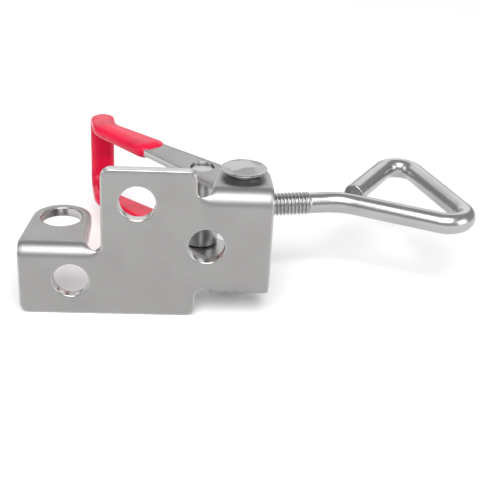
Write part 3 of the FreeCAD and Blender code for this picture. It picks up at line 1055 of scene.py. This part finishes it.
@dataclass
class Rivet:
    """A pivot rivet: hammered head on the ear, shank, and a peened tail inside the lever."""

    name: str
    upside_down: bool
    seed: int
    head: float = 4.65
    seat: float = 3.35
    shank: float = 2.5
    tail: float = 3.5
    ear_face: float = 11.85
    rim_height: float = 1.4
    dome_height: float = 0.75
    tail_top: float = 7.9
    tail_height: float = 1.1
    facets: int = 11
    facet_spread: float = 0.86
    facet_tilt: float = 0.21
    facet_lift: float = 0.012
    facet_blend: float = 0.006
    hammered: float = 0.985

    def _planes(self) -> list[tuple[float, float, float]]:
        """Flats that a hammer leaves on the dome.

        Returns:
            For each flat its slope along x, its slope along y, and its height.
        """
        rng = random.Random(self.seed)
        planes = []
        curve = (self.head ** 2) / (2 * self.dome_height)
        for i in range(self.facets):
            radius = self.head * self.facet_spread * math.sqrt((i + 0.5) / self.facets)
            angle = i * GOLDEN_ANGLE + rng.uniform(-0.5, 0.5)
            x, y = radius * math.cos(angle), radius * math.sin(angle)
            tilt = (-x / curve + rng.uniform(-self.facet_tilt, self.facet_tilt),
                    -y / curve + rng.uniform(-self.facet_tilt, self.facet_tilt))
            height = self.dome_height - radius ** 2 / (2 * curve) - tilt[0] * x - tilt[1] * y
            planes.append((tilt[0], tilt[1], height + rng.uniform(-self.facet_lift, self.facet_lift)))
        return planes

    def _relief(self) -> Callable[[float, float, float], float]:
        """Make the function that lowers the smooth dome onto its hammered flats.

        Returns:
            A function of radius, angle and height that gives the lift there.
        """
        planes = self._planes()
        rim = self.ear_face + self.rim_height
        soft = self.facet_blend
        edge = self.head * self.hammered

        def lowered(radius: float, angle: float, height: float) -> float:
            """Lift of one point of the head.

            Args:
                radius: Distance from the rivet's axis.
                angle: Angle about the axis.
                height: Height of the smooth dome there.

            Returns:
                How far the point moves up.
            """
            if height < rim - 1e-6 or radius > edge:
                return 0.0
            x, y = radius * math.cos(angle), radius * math.sin(angle)
            total = sum(math.exp(-(a * x + b * y + c) / soft) for a, b, c in planes)
            level = -soft * math.log(total)
            fade = min(1.0, max(0.0, (edge - radius) / (self.head * 0.12)))
            return (level + rim - height) * fade - 0.01 * fade

        return lowered

    def build(self) -> bpy.types.Object:
        """Turn the rivet.

        Returns:
            The piece, not yet dressed.
        """
        rim = self.ear_face + self.rim_height
        tail_end = self.tail_top - self.tail_height
        lower = eased_profile([(0.0, tail_end + 0.25, 0.0), (1.1, tail_end + 0.1, 0.6),
                               (1.9, tail_end, 0.5), (self.tail, tail_end, 0.45),
                               (self.tail, self.tail_top, 0.12), (self.shank, self.tail_top, 0.0),
                               (self.shank, self.ear_face, 0.0), (self.seat, self.ear_face, 0.1),
                               (self.seat + 0.2, rim - 0.7, 0.3), (self.head - 0.04, rim - 0.26, 0.05),
                               (self.head, rim - 0.1, 0.08), (self.head - 0.2, rim + 0.02, 0.0)])
        dome = []
        for i in range(1, 40):
            radius = (self.head - 0.2) * (1.0 - i / 40.0)
            share = radius / self.head
            dome.append((radius, rim + 0.02 + self.dome_height * (1.0 - share ** 2) * 0.97))
        profile = lower + dome + [(0.0, rim + self.dome_height * 0.98)]
        shell = turned_shell(profile, 128, self._relief())
        turn = np.array([1.0, -1.0, -1.0]) if self.upside_down else np.ones(3)
        pivot = joint_place("handle_pivot")
        shell.points = shell.points * turn + np.array(pivot)
        made = shell.to_object(self.name)
        sharpen(made, 50.0)
        return made


# ------------------------------------------------------------------------------- lever and grip


@dataclass
class LeverStrip:
    """The shape that lever and grip share: a strip folded into a U about its flared end."""

    thickness: float = 1.5
    half_span: float = 9.5
    pivot_radius: float = 4.1
    neck: float = 8.2
    near_turn: float = 43.5
    far_turn: float = 42.0
    near_edge: float = 3.4
    far_edge: float = 0.4
    flare: float = 30.0
    end_reach: float = 50.8
    end_offset: float = 3.9
    end_width: float = 3.9
    fold_radius: float = 5.0
    flare_radius: float = 6.0
    heading: float = 133.0

    @property
    def end(self) -> float:
        """Outer face of the web along the flared direction."""
        tilt = math.radians(self.flare)
        return self.end_reach * math.cos(tilt) + self.end_offset * math.sin(tilt)

    @property
    def fold_start(self) -> float:
        """Where the first fold begins along the flared direction."""
        return self.end - self.fold_radius

    @property
    def fold_length(self) -> float:
        """Length of one fold along the middle of the strip."""
        return math.pi / 2 * (self.fold_radius - self.thickness / 2)

    @property
    def middle(self) -> float:
        """Middle of the unfolded strip."""
        return self.fold_start + self.fold_length + self.half_span - self.fold_radius

    def to_strip(self, x: float, y: float) -> tuple[float, float]:
        """Turn a place beside the lever's line into along and across of the flared strip."""
        tilt = math.radians(self.flare)
        return (x * math.cos(tilt) - y * math.sin(tilt), x * math.sin(tilt) + y * math.cos(tilt))

    def end_sides(self, skin: float) -> tuple[float, float]:
        """Across places of the flared end's far and near sides, grown by a skin."""
        middle = self.to_strip(self.end_reach, -self.end_offset)[1]
        half = self.end_width / 2 + skin
        return middle - half, middle + half

    def folded(self, flat: np.ndarray, normals: np.ndarray | None) -> tuple[np.ndarray, ...]:
        """Fold flat points into the U and set them down on the latch.

        Args:
            flat: Points as along the strip, across it, and depth from its outer face.
            normals: Their normals, or None.

        Returns:
            Points in the row frame in millimetres, and normals.
        """
        mirror = np.where(flat[:, 0] > self.middle, -1.0, 1.0)
        along = np.where(mirror < 0, 2 * self.middle - flat[:, 0], flat[:, 0])
        run = np.maximum(along - self.fold_start, 0.0)
        angle = np.clip(run / self.fold_length, 0.0, 1.0) * math.pi / 2
        rest = np.maximum(run - self.fold_length, 0.0)
        reach = self.fold_radius - flat[:, 2]
        forward = np.minimum(along, self.fold_start) + reach * np.sin(angle)
        level = (self.half_span - self.fold_radius + reach * np.cos(angle) - rest) * mirror
        spots = self._down(forward, flat[:, 1], level, joint_place("handle_pivot"))
        if normals is None:
            return spots, None
        ahead = normals[:, 0] * mirror
        into = normals[:, 2]
        out_forward = ahead * np.cos(angle) - into * np.sin(angle)
        out_level = -(ahead * np.sin(angle) + into * np.cos(angle)) * mirror
        turned = self._down(out_forward, normals[:, 1], out_level, Vector((0.0, 0.0, 0.0)))
        return spots, turned

    def _down(self, forward: np.ndarray, across: np.ndarray, level: np.ndarray,
              origin: Vector) -> np.ndarray:
        """Turn strip axes into row axes about the pivot.

        Args:
            forward: Places along the flared strip.
            across: Places across it.
            level: Heights from the lever's middle.
            origin: Place of the pivot, or zero for directions.

        Returns:
            The places, one row each.
        """
        tilt, head = math.radians(self.flare), math.radians(self.heading)
        x = forward * math.cos(tilt) + across * math.sin(tilt)
        y = -forward * math.sin(tilt) + across * math.cos(tilt)
        return np.stack([origin.x + x * math.cos(head) - y * math.sin(head),
                         origin.y + x * math.sin(head) + y * math.cos(head),
                         origin.z + level], axis=1)

    def fold_cuts(self) -> list[tuple[int, float]]:
        """Lines that the strip is cut at so that it can fold."""
        starts = [self.fold_start + self.fold_length * i / 10 for i in range(11)]
        return [(0, s) for s in starts] + [(0, 2 * self.middle - s) for s in starts]


@dataclass
class Lever:
    """The lever itself: a tapered strip with pivot and trunnion holes, folded into a U."""

    strip: LeverStrip
    pivot_hole: float = 2.56
    stub_hole: float = 2.51
    stub_reach: float = 12.05

    def build(self) -> bpy.types.Object:
        """Fold the strip.

        Returns:
            The piece, not yet dressed.
        """
        strip = self.strip
        far, near = strip.end_sides(0.0)
        round_end = strip.pivot_radius * 0.985
        near_turn = strip.to_strip(strip.near_turn, strip.near_edge)
        far_turn = strip.to_strip(strip.far_turn, -strip.far_edge)
        near_fold = (strip.fold_start + strip.fold_length, near)
        far_fold = (strip.fold_start + strip.fold_length, far)
        pivot = strip.pivot_radius
        # far side of the first arm, then on round the second arm and back along the near side
        far_side = [(*strip.to_strip(-pivot, -pivot), round_end),
                    (*strip.to_strip(strip.neck, -pivot), 0.0),
                    (*far_turn, strip.flare_radius), (*far_fold, 0.0)]
        near_side = [(*near_fold, 0.0), (*near_turn, strip.flare_radius),
                     (*strip.to_strip(strip.neck, pivot), 0.0),
                     (*strip.to_strip(-pivot, pivot), round_end)]
        turned = [(2 * strip.middle - u, q, r) for u, q, r in reversed(far_side)]
        turned_near = [(2 * strip.middle - u, q, r) for u, q, r in reversed(near_side)]
        outline = rounded(far_side + turned + turned_near + near_side)
        holes = []
        for reach, radius in ((0.0, self.pivot_hole), (self.stub_reach, self.stub_hole)):
            along, across = strip.to_strip(reach, 0.0)
            holes.append(round_hole((along, across), radius))
            holes.append(round_hole((2 * strip.middle - along, across), radius))
        edge = EdgeRoll(0.45, 0.03, 0.22, 0.12, groove_at=0.68, groove_half=0.16,
                        groove_depth=0.075)
        blank = Blank(outline, holes, strip.thickness, edge, EdgeRoll(0.16, 0.01, 0.1, 0.1),
                      strip.fold_cuts())
        shell = blank.build()
        shell.points, shell.normals = strip.folded(shell.points, shell.normals)
        return shell.to_object("lever")


@dataclass
class Grip:
    """The dipped skin: thick round edges, a soft lip at the steel, and a little sag."""

    strip: LeverStrip
    skin: float = 0.8
    start: float = 25.8
    voxel: float = 0.24
    smoothing: int = 14

    def _sides(self) -> tuple[float, float]:
        """Edges of the coated strip where the skin starts.

        Returns:
            The near edge and the far edge.
        """
        strip = self.strip
        near = strip.pivot_radius + (self.start - strip.neck) / (strip.near_turn - strip.neck) \
            * (strip.near_edge - strip.pivot_radius)
        far = strip.pivot_radius + (self.start - strip.neck) / (strip.far_turn - strip.neck) \
            * (strip.far_edge - strip.pivot_radius)
        return near + self.skin, -far - self.skin

    def build(self) -> bpy.types.Object:
        """Grow, fold and soften the skin.

        Returns:
            The piece, not yet dressed.
        """
        strip, skin = self.strip, self.skin
        near_y, far_y = self._sides()
        far, near = strip.end_sides(skin)
        fold = strip.fold_start + strip.fold_length
        lip = [(*strip.to_strip(self.start + 0.05, near_y), 2.6),
               (*strip.to_strip(self.start - 0.6, far_y), 2.6)]
        far_side = [(*strip.to_strip(strip.far_turn, -strip.far_edge - skin),
                     strip.flare_radius - skin), (fold, far, 0.0)]
        near_side = [(fold, near, 0.0),
                     (*strip.to_strip(strip.near_turn, strip.near_edge + skin),
                      strip.flare_radius + skin)]

        def mirrored(corners: Sequence[Corner]) -> list[Corner]:
            """The same corners on the second arm, in the other order."""
            return [(2 * strip.middle - u, q, r) for u, q, r in reversed(corners)]

        outline = rounded(lip + far_side + mirrored(far_side) + mirrored(lip)
                          + mirrored(near_side) + near_side)
        thick = strip.thickness + 2 * skin
        soft = EdgeRoll(2.5, 0.28, 1.2, 1.4, steps=8)
        shell = Blank(outline, [], thick, soft, soft, strip.fold_cuts()).build()
        flat = shell.points.copy()
        flat[:, 2] -= skin
        shell.points, _ = strip.folded(flat, None)
        shell.normals = None
        made = shell.to_object("grip")
        remesh = made.modifiers.new("dip", "REMESH")
        remesh.mode = "VOXEL"
        remesh.voxel_size = self.voxel * MM
        remesh.use_smooth_shade = True
        smooth = made.modifiers.new("soften", "SMOOTH")
        smooth.factor = 0.5
        smooth.iterations = self.smoothing
        settle(made)
        made.data.shade_smooth()
        own_grain(made)
        return made


# ------------------------------------------------------------------------------- trunnion


@dataclass
class Trunnion:
    """The cross barrel: turned stubs and shoulders, and a countersunk hole for the bolt."""

    barrel: float = 3.7
    stub: float = 2.45
    shoulder: float = 7.9
    end: float = 9.0
    chamfer: float = 0.4
    bore: float = 2.535
    countersink: float = 3.05

    def build(self) -> bpy.types.Object:
        """Turn and drill the barrel.

        Returns:
            The piece, not yet dressed.
        """
        half = [(0.0, self.end, 0.0), (self.stub, self.end, 0.18), (self.stub, self.shoulder + 0.02, 0.0),
                (self.stub + 0.05, self.shoulder, 0.0),
                (self.barrel - self.chamfer, self.shoulder, 0.06),
                (self.barrel, self.shoulder - self.chamfer, 0.15)]
        corners = half + [(r, -z, e) for r, z, e in reversed(half)]
        shell = turned_shell(eased_profile(corners[::-1]), 128)
        made = shell.to_object("trunnion_barrel")
        profile = [(0.0, -5.0), (3.9, -5.0), (3.9, -3.9), (self.countersink, -3.72),
                   (self.bore, -3.1), (self.bore, 3.1), (self.countersink, 3.72), (3.9, 3.9),
                   (3.9, 5.0), (0.0, 5.0)]
        drill = turned_shell(profile, 96).to_object("drill")
        drill.matrix_world = Matrix.Rotation(math.radians(90.0), 4, "Y")
        hole = made.modifiers.new("hole", "BOOLEAN")
        hole.operation = "DIFFERENCE"
        hole.solver = "EXACT"
        hole.object = drill
        bpy.context.view_layer.update()
        settle(made)
        bpy.data.objects.remove(drill)
        own_grain(made)
        place = joint_place("trunnion_pivot") * MM
        axis = joint_axis("hook_bolt_spin")
        turn = Matrix.Rotation(math.atan2(axis.y, axis.x), 4, "Z")
        made.data.transform(Matrix.Translation(place) @ turn)
        made.data.shade_smooth()
        sharpen(made, 25.0)
        return made


# ------------------------------------------------------------------------------- hook bolt


@dataclass
class HookBolt:
    """The bolt: rolled thread, drawn shank, and the wire bent into an open triangle."""

    wire: float = 2.25
    crest: float = 2.475
    pitch: float = 0.8
    thread_depth: float = 0.46
    tail: float = 7.2
    thread_end: float = 23.8
    chamfer: float = 0.6
    neck: float = 30.8
    near: tuple[float, float] = (57.6, -17.65)
    far: tuple[float, float] = (51.4, 22.4)
    end: tuple[float, float] = (34.7, 3.3)
    bends: tuple[float, float, float] = (12.0, 4.4, 4.2)
    segments: int = 64
    rings_per_turn: int = 14
    flattening: float = 0.045

    def _thread_radius(self, along: float, angle: float) -> float:
        """Radius of the threaded part.

        Args:
            along: Place along the axis.
            angle: Angle about the axis.

        Returns:
            The radius there.
        """
        phase = (along / self.pitch - angle / (2 * math.pi)) % 1.0
        flank = min(1.0, max(0.0, (abs(phase - 0.5) * 2 - 0.16) / 0.62))
        flank = flank * flank * (3 - 2 * flank) * 0.35 + flank * 0.65
        depth = self.thread_depth * (1.0 - flank)
        crest_dip = 0.03 * math.exp(-((phase if phase < 0.5 else 1.0 - phase) / 0.05) ** 2)
        runout = min(1.0, max(0.0, (self.thread_end + 0.2 - along) / 1.4))
        base = self.wire + (self.crest - self.wire) * min(1.0, runout * 1.6)
        radius = base - (depth + crest_dip) * runout
        from_tail = along + self.tail
        return min(radius, self.crest - self.chamfer + max(0.0, from_tail))

    def _route(self) -> list[tuple[Vector, Vector, float]]:
        """Middle line of the plain wire.

        Returns:
            For each ring its place, its direction, and how much of a bend it is in.
        """
        corners = [(self.thread_end, 0.0), (self.neck, 0.0), self.near, self.far, self.end]
        radii = [0.0, *self.bends, 0.0]
        spots: list[tuple[Vector, Vector, float]] = []
        last = Vector(corners[0])
        for place in range(1, len(corners)):
            here = Vector(corners[place])
            ahead = (here - last).normalized()
            if place == len(corners) - 1:
                spots += self._straight(last, here, ahead)
                break
            onward = (Vector(corners[place + 1]) - here).normalized()
            turn = ahead.angle_signed(onward)
            setback = radii[place] * math.tan(abs(turn) / 2)
            start = here - ahead * setback
            spots += self._straight(last, start, ahead)
            side = -1.0 if turn > 0 else 1.0
            left = Vector((-ahead.y, ahead.x)) * side
            centre = start + left * radii[place]
            count = max(6, int(abs(math.degrees(turn)) / 4))
            for i in range(count + 1):
                swing = abs(turn) * i / count * side
                arm = start - centre
                arm = Vector((arm.x * math.cos(swing) - arm.y * math.sin(swing),
                              arm.x * math.sin(swing) + arm.y * math.cos(swing)))
                way = Vector((ahead.x * math.cos(swing) - ahead.y * math.sin(swing),
                              ahead.x * math.sin(swing) + ahead.y * math.cos(swing)))
                spots.append((centre + arm, way, math.sin(math.pi * i / count)))
            last = here + onward * setback
        return spots

    def _straight(self, start: Vector, end: Vector, way: Vector) -> list:
        """Rings along a straight run, its two ends left to the bends that it joins."""
        count = max(2, int((end - start).length / 1.5))
        return [(start.lerp(end, (i + 0.5) / count), way, 0.0) for i in range(count)]

    def build(self) -> bpy.types.Object:
        """Roll, draw and bend the bolt.

        Returns:
            The piece, not yet dressed.
        """
        rings: list[np.ndarray] = []
        grains: list[np.ndarray] = []
        angles = np.linspace(0.0, 2 * math.pi, self.segments, endpoint=False)
        cosines, sines = np.cos(angles), np.sin(angles)

        def add(centre: Vector, way: Vector, radii: np.ndarray, along: float,
                squeeze: float = 0.0) -> None:
            """Add one ring across the wire.

            Args:
                centre: Middle of the ring.
                way: Direction of the wire there.
                radii: Radius at each point of the ring.
                along: Length of wire up to the ring.
                squeeze: How far the bend flattens the ring.
            """
            side = np.array([-way.y, way.x, 0.0])
            out = radii * cosines * (1.0 - squeeze)
            up = radii * sines * (1.0 + squeeze * 0.5)
            middle = np.array([centre.x, centre.y, 0.0])
            rings.append(middle + out[:, None] * side + up[:, None] * np.array([0.0, 0.0, 1.0]))
            grains.append(np.stack([np.full(len(out), along), radii * cosines, radii * sines],
                                   axis=1))

        forward = Vector((1.0, 0.0))
        count = int((self.thread_end + self.tail + 1.0) / self.pitch * self.rings_per_turn)
        first = -self.tail
        for radius in (0.45, 1.0, 1.5):
            add(Vector((first, 0.0)), forward, np.full(self.segments, radius), first)
        for i in range(count + 1):
            along = first + (self.thread_end + 0.6 - first) * i / count
            radii = np.array([self._thread_radius(along, a) for a in angles])
            add(Vector((along, 0.0)), forward, radii, along)
        travelled = self.thread_end
        before = Vector((self.thread_end, 0.0))
        route = self._route()
        for centre, way, bend in route[1:]:
            travelled += (centre - before).length
            before = centre
            add(centre, way, np.full(self.segments, self.wire), travelled, bend * self.flattening)
        tip, way = route[-1][0], route[-1][1]
        gap = (Vector(self.end) - tip).length
        for back, shrink in ((0.35, 0.0), (0.18, 0.03), (0.06, 0.11), (0.0, 0.26), (0.0, 0.5),
                             (-0.03, 1.1), (0.0, 1.7)):
            centre = tip + way * (gap - back)
            add(centre, way, np.full(self.segments, self.wire - shrink), travelled + gap - back)
        return self._close(rings, grains)

    def _close(self, rings: list[np.ndarray], grains: list[np.ndarray]) -> bpy.types.Object:
        """Skin the rings, cap both ends and set the bolt down on the trunnion's middle.

        Args:
            rings: Points of each ring, from the tail to the cut end.
            grains: Grain places of each ring.

        Returns:
            The piece, not yet dressed.
        """
        count = self.segments
        points = np.concatenate(rings)
        grain = np.concatenate(grains)
        faces: list[tuple[int, ...]] = []
        for k in range(len(rings) - 1):
            for i in range(count):
                j = (i + 1) % count
                faces.append((k * count + i, k * count + j, (k + 1) * count + j,
                              (k + 1) * count + i))
        ends = np.array([rings[0].mean(0), rings[-1].mean(0)])
        grain = np.concatenate([grain, np.array([grains[0].mean(0), grains[-1].mean(0)])])
        first, last = len(points), len(points) + 1
        points = np.concatenate([points, ends])
        base = (len(rings) - 1) * count
        for i in range(count):
            j = (i + 1) % count
            faces.append((first, j, i))
            faces.append((last, base + i, base + j))
        axis = joint_axis("hook_bolt_spin")
        place = joint_place("hook_bolt_spin")
        turned = np.stack([place.x + points[:, 0] * axis.x - points[:, 1] * axis.y,
                           place.y + points[:, 0] * axis.y + points[:, 1] * axis.x,
                           place.z + points[:, 2]], axis=1)
        made = Shell(turned, faces, grain).to_object("bolt")
        work = bmesh.new()
        work.from_mesh(made.data)
        bmesh.ops.recalc_face_normals(work, faces=list(work.faces))
        work.to_mesh(made.data)
        work.free()
        return made


# ------------------------------------------------------------------------------- studio


@dataclass(frozen=True)
class SoftBox:
    """A square soft light."""

    name: str
    place: Colour
    aim: Colour
    size: float
    power: float
    tall: float | None = None

    def build(self) -> None:
        """Hang the light and point it."""
        light = bpy.data.lights.new(self.name, "AREA")
        light.energy = self.power
        light.size = self.size
        if self.tall is not None:
            light.shape = "RECTANGLE"
            light.size_y = self.tall
        lamp = bpy.data.objects.new(self.name, light)
        bpy.context.scene.collection.objects.link(lamp)
        lamp.location = self.place
        way = Vector(self.aim) - Vector(self.place)
        lamp.rotation_euler = way.to_track_quat("-Z", "Y").to_euler()


@dataclass
class Studio:
    """Pale floor, soft lights and the camera."""

    yaw: float = -3.35
    pitch: float = 27.33
    roll: float = 2.98
    stand: Triple = (0.02301, -0.17783, 0.10211)
    lens: float = 76.4
    surround: Colour = (0.46, 0.46, 0.465)
    boxes: tuple[SoftBox, ...] = (
        SoftBox("overhead", (0.02, -0.32, 0.50), (0.03, 0.02, 0.0), 0.50, 3.5),
        SoftBox("behind", (0.05, 0.75, 0.42), (0.03, 0.02, 0.01), 1.1, 1.8, 0.5),
        SoftBox("left", (-0.6, -0.15, 0.35), (0.03, 0.01, 0.01), 0.35, 0.8),
        SoftBox("right", (0.62, -0.30, 0.24), (0.03, 0.01, 0.01), 0.42, 1.5),
    )

    def camera(self) -> None:
        """Place the camera."""
        yaw, pitch, roll = (math.radians(a) for a in (self.yaw, self.pitch, self.roll))
        ahead = Vector((-math.sin(yaw) * math.cos(pitch), math.cos(yaw) * math.cos(pitch),
                        -math.sin(pitch)))
        right = Vector((math.cos(yaw), math.sin(yaw), 0.0))
        up = right.cross(ahead)
        across = right * math.cos(roll) + up * math.sin(roll)
        upright = up * math.cos(roll) - right * math.sin(roll)
        view = bpy.data.cameras.new("camera")
        view.lens = self.lens
        view.sensor_width = 36.0
        view.clip_start = 0.005
        eye = bpy.data.objects.new("camera", view)
        bpy.context.scene.collection.objects.link(eye)
        matrix = Matrix((across, upright, -ahead)).transposed().to_4x4()
        eye.matrix_world = Matrix.Translation(Vector(self.stand)) @ matrix
        bpy.context.scene.camera = eye

    def floor(self, level: float) -> None:
        """Lay a floor that curves up at the back.

        Args:
            level: Height of the floor in metres.
        """
        profile = [(-3.0, 0.0), (1.4, 0.0)]
        profile += [(1.4 + 0.8 * math.sin(a), 0.8 - 0.8 * math.cos(a))
                    for a in (math.radians(d) for d in range(6, 91, 6))]
        profile.append((2.2, 3.0))
        points = [(x, y, z + level) for y, z in profile for x in (-3.0, 3.0)]
        faces = [(2 * i, 2 * i + 1, 2 * i + 3, 2 * i + 2) for i in range(len(profile) - 1)]
        mesh = bpy.data.meshes.new("floor")
        mesh.from_pydata(points, [], faces)
        mesh.shade_smooth()
        made = bpy.data.objects.new("floor", mesh)
        made.data.materials.append(FloorFinish().make())
        bpy.context.scene.collection.objects.link(made)
        made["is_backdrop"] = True

    def light(self) -> None:
        """Hang the soft boxes and set the surround."""
        for box in self.boxes:
            box.build()
        world = bpy.data.worlds.new("surround")
        world.use_nodes = True
        world.node_tree.nodes["Background"].inputs["Color"].default_value = (*self.surround, 1.0)
        bpy.context.scene.world = world
        bpy.context.scene.view_settings.view_transform = "Standard"


# ------------------------------------------------------------------------------- assembly


def main() -> None:
    """Build and dress every piece, then the studio."""
    logging.basicConfig(level=logging.INFO, format="%(name)s: %(message)s")
    cad_box = [list(corner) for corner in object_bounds()]
    bracket_steel = SteelFinish("bracket_steel").make()
    lever_steel = SteelFinish("lever_steel", grain=(0.3, 8.0, 8.0)).make()
    rivet_steel = SteelFinish("rivet_steel", tone=(0.37, 0.365, 0.36), cloud=(0.32, 0.315, 0.31),
                              roughness=0.24, grain=(2.0, 2.0, 2.0)).make()
    trunnion_steel = SteelFinish("trunnion_steel", tone=(0.46, 0.46, 0.455),
                                 cloud=(0.42, 0.42, 0.415), roughness=0.32,
                                 roughness_swing=0.05, grain=(1.0, 1.0, 14.0)).make()
    bolt_steel = SteelFinish("bolt_steel", tone=(0.44, 0.435, 0.43), cloud=(0.40, 0.395, 0.39),
                             roughness=0.25, roughness_swing=0.06, grain=(0.12, 7.0, 7.0)).make()
    vinyl = VinylFinish("grip_vinyl").make()
    strip = LeverStrip()
    present(Bracket().build(), Body.BASE, "base_bracket", bracket_steel)
    present(Rivet("rivet_upper", False, 11).build(), Body.BASE,
            "pivot_rivet_upper", rivet_steel)
    present(Rivet("rivet_lower", True, 23).build(), Body.BASE,
            "pivot_rivet_lower", rivet_steel)
    present(Lever(strip).build(), Body.HANDLE, "handle_lever", lever_steel)
    present(Grip(strip).build(), Body.HANDLE, "handle_grip", vinyl)
    present(Trunnion().build(), Body.BARREL, "trunnion", trunnion_steel)
    present(HookBolt().build(), Body.HOOK, "hook_bolt", bolt_steel)
    studio = Studio()
    studio.camera()
    studio.floor(cad_box[0][2])
    studio.light()
    LOG.info("CAD box %s", cad_box)


if __name__ == "__main__":
    main()
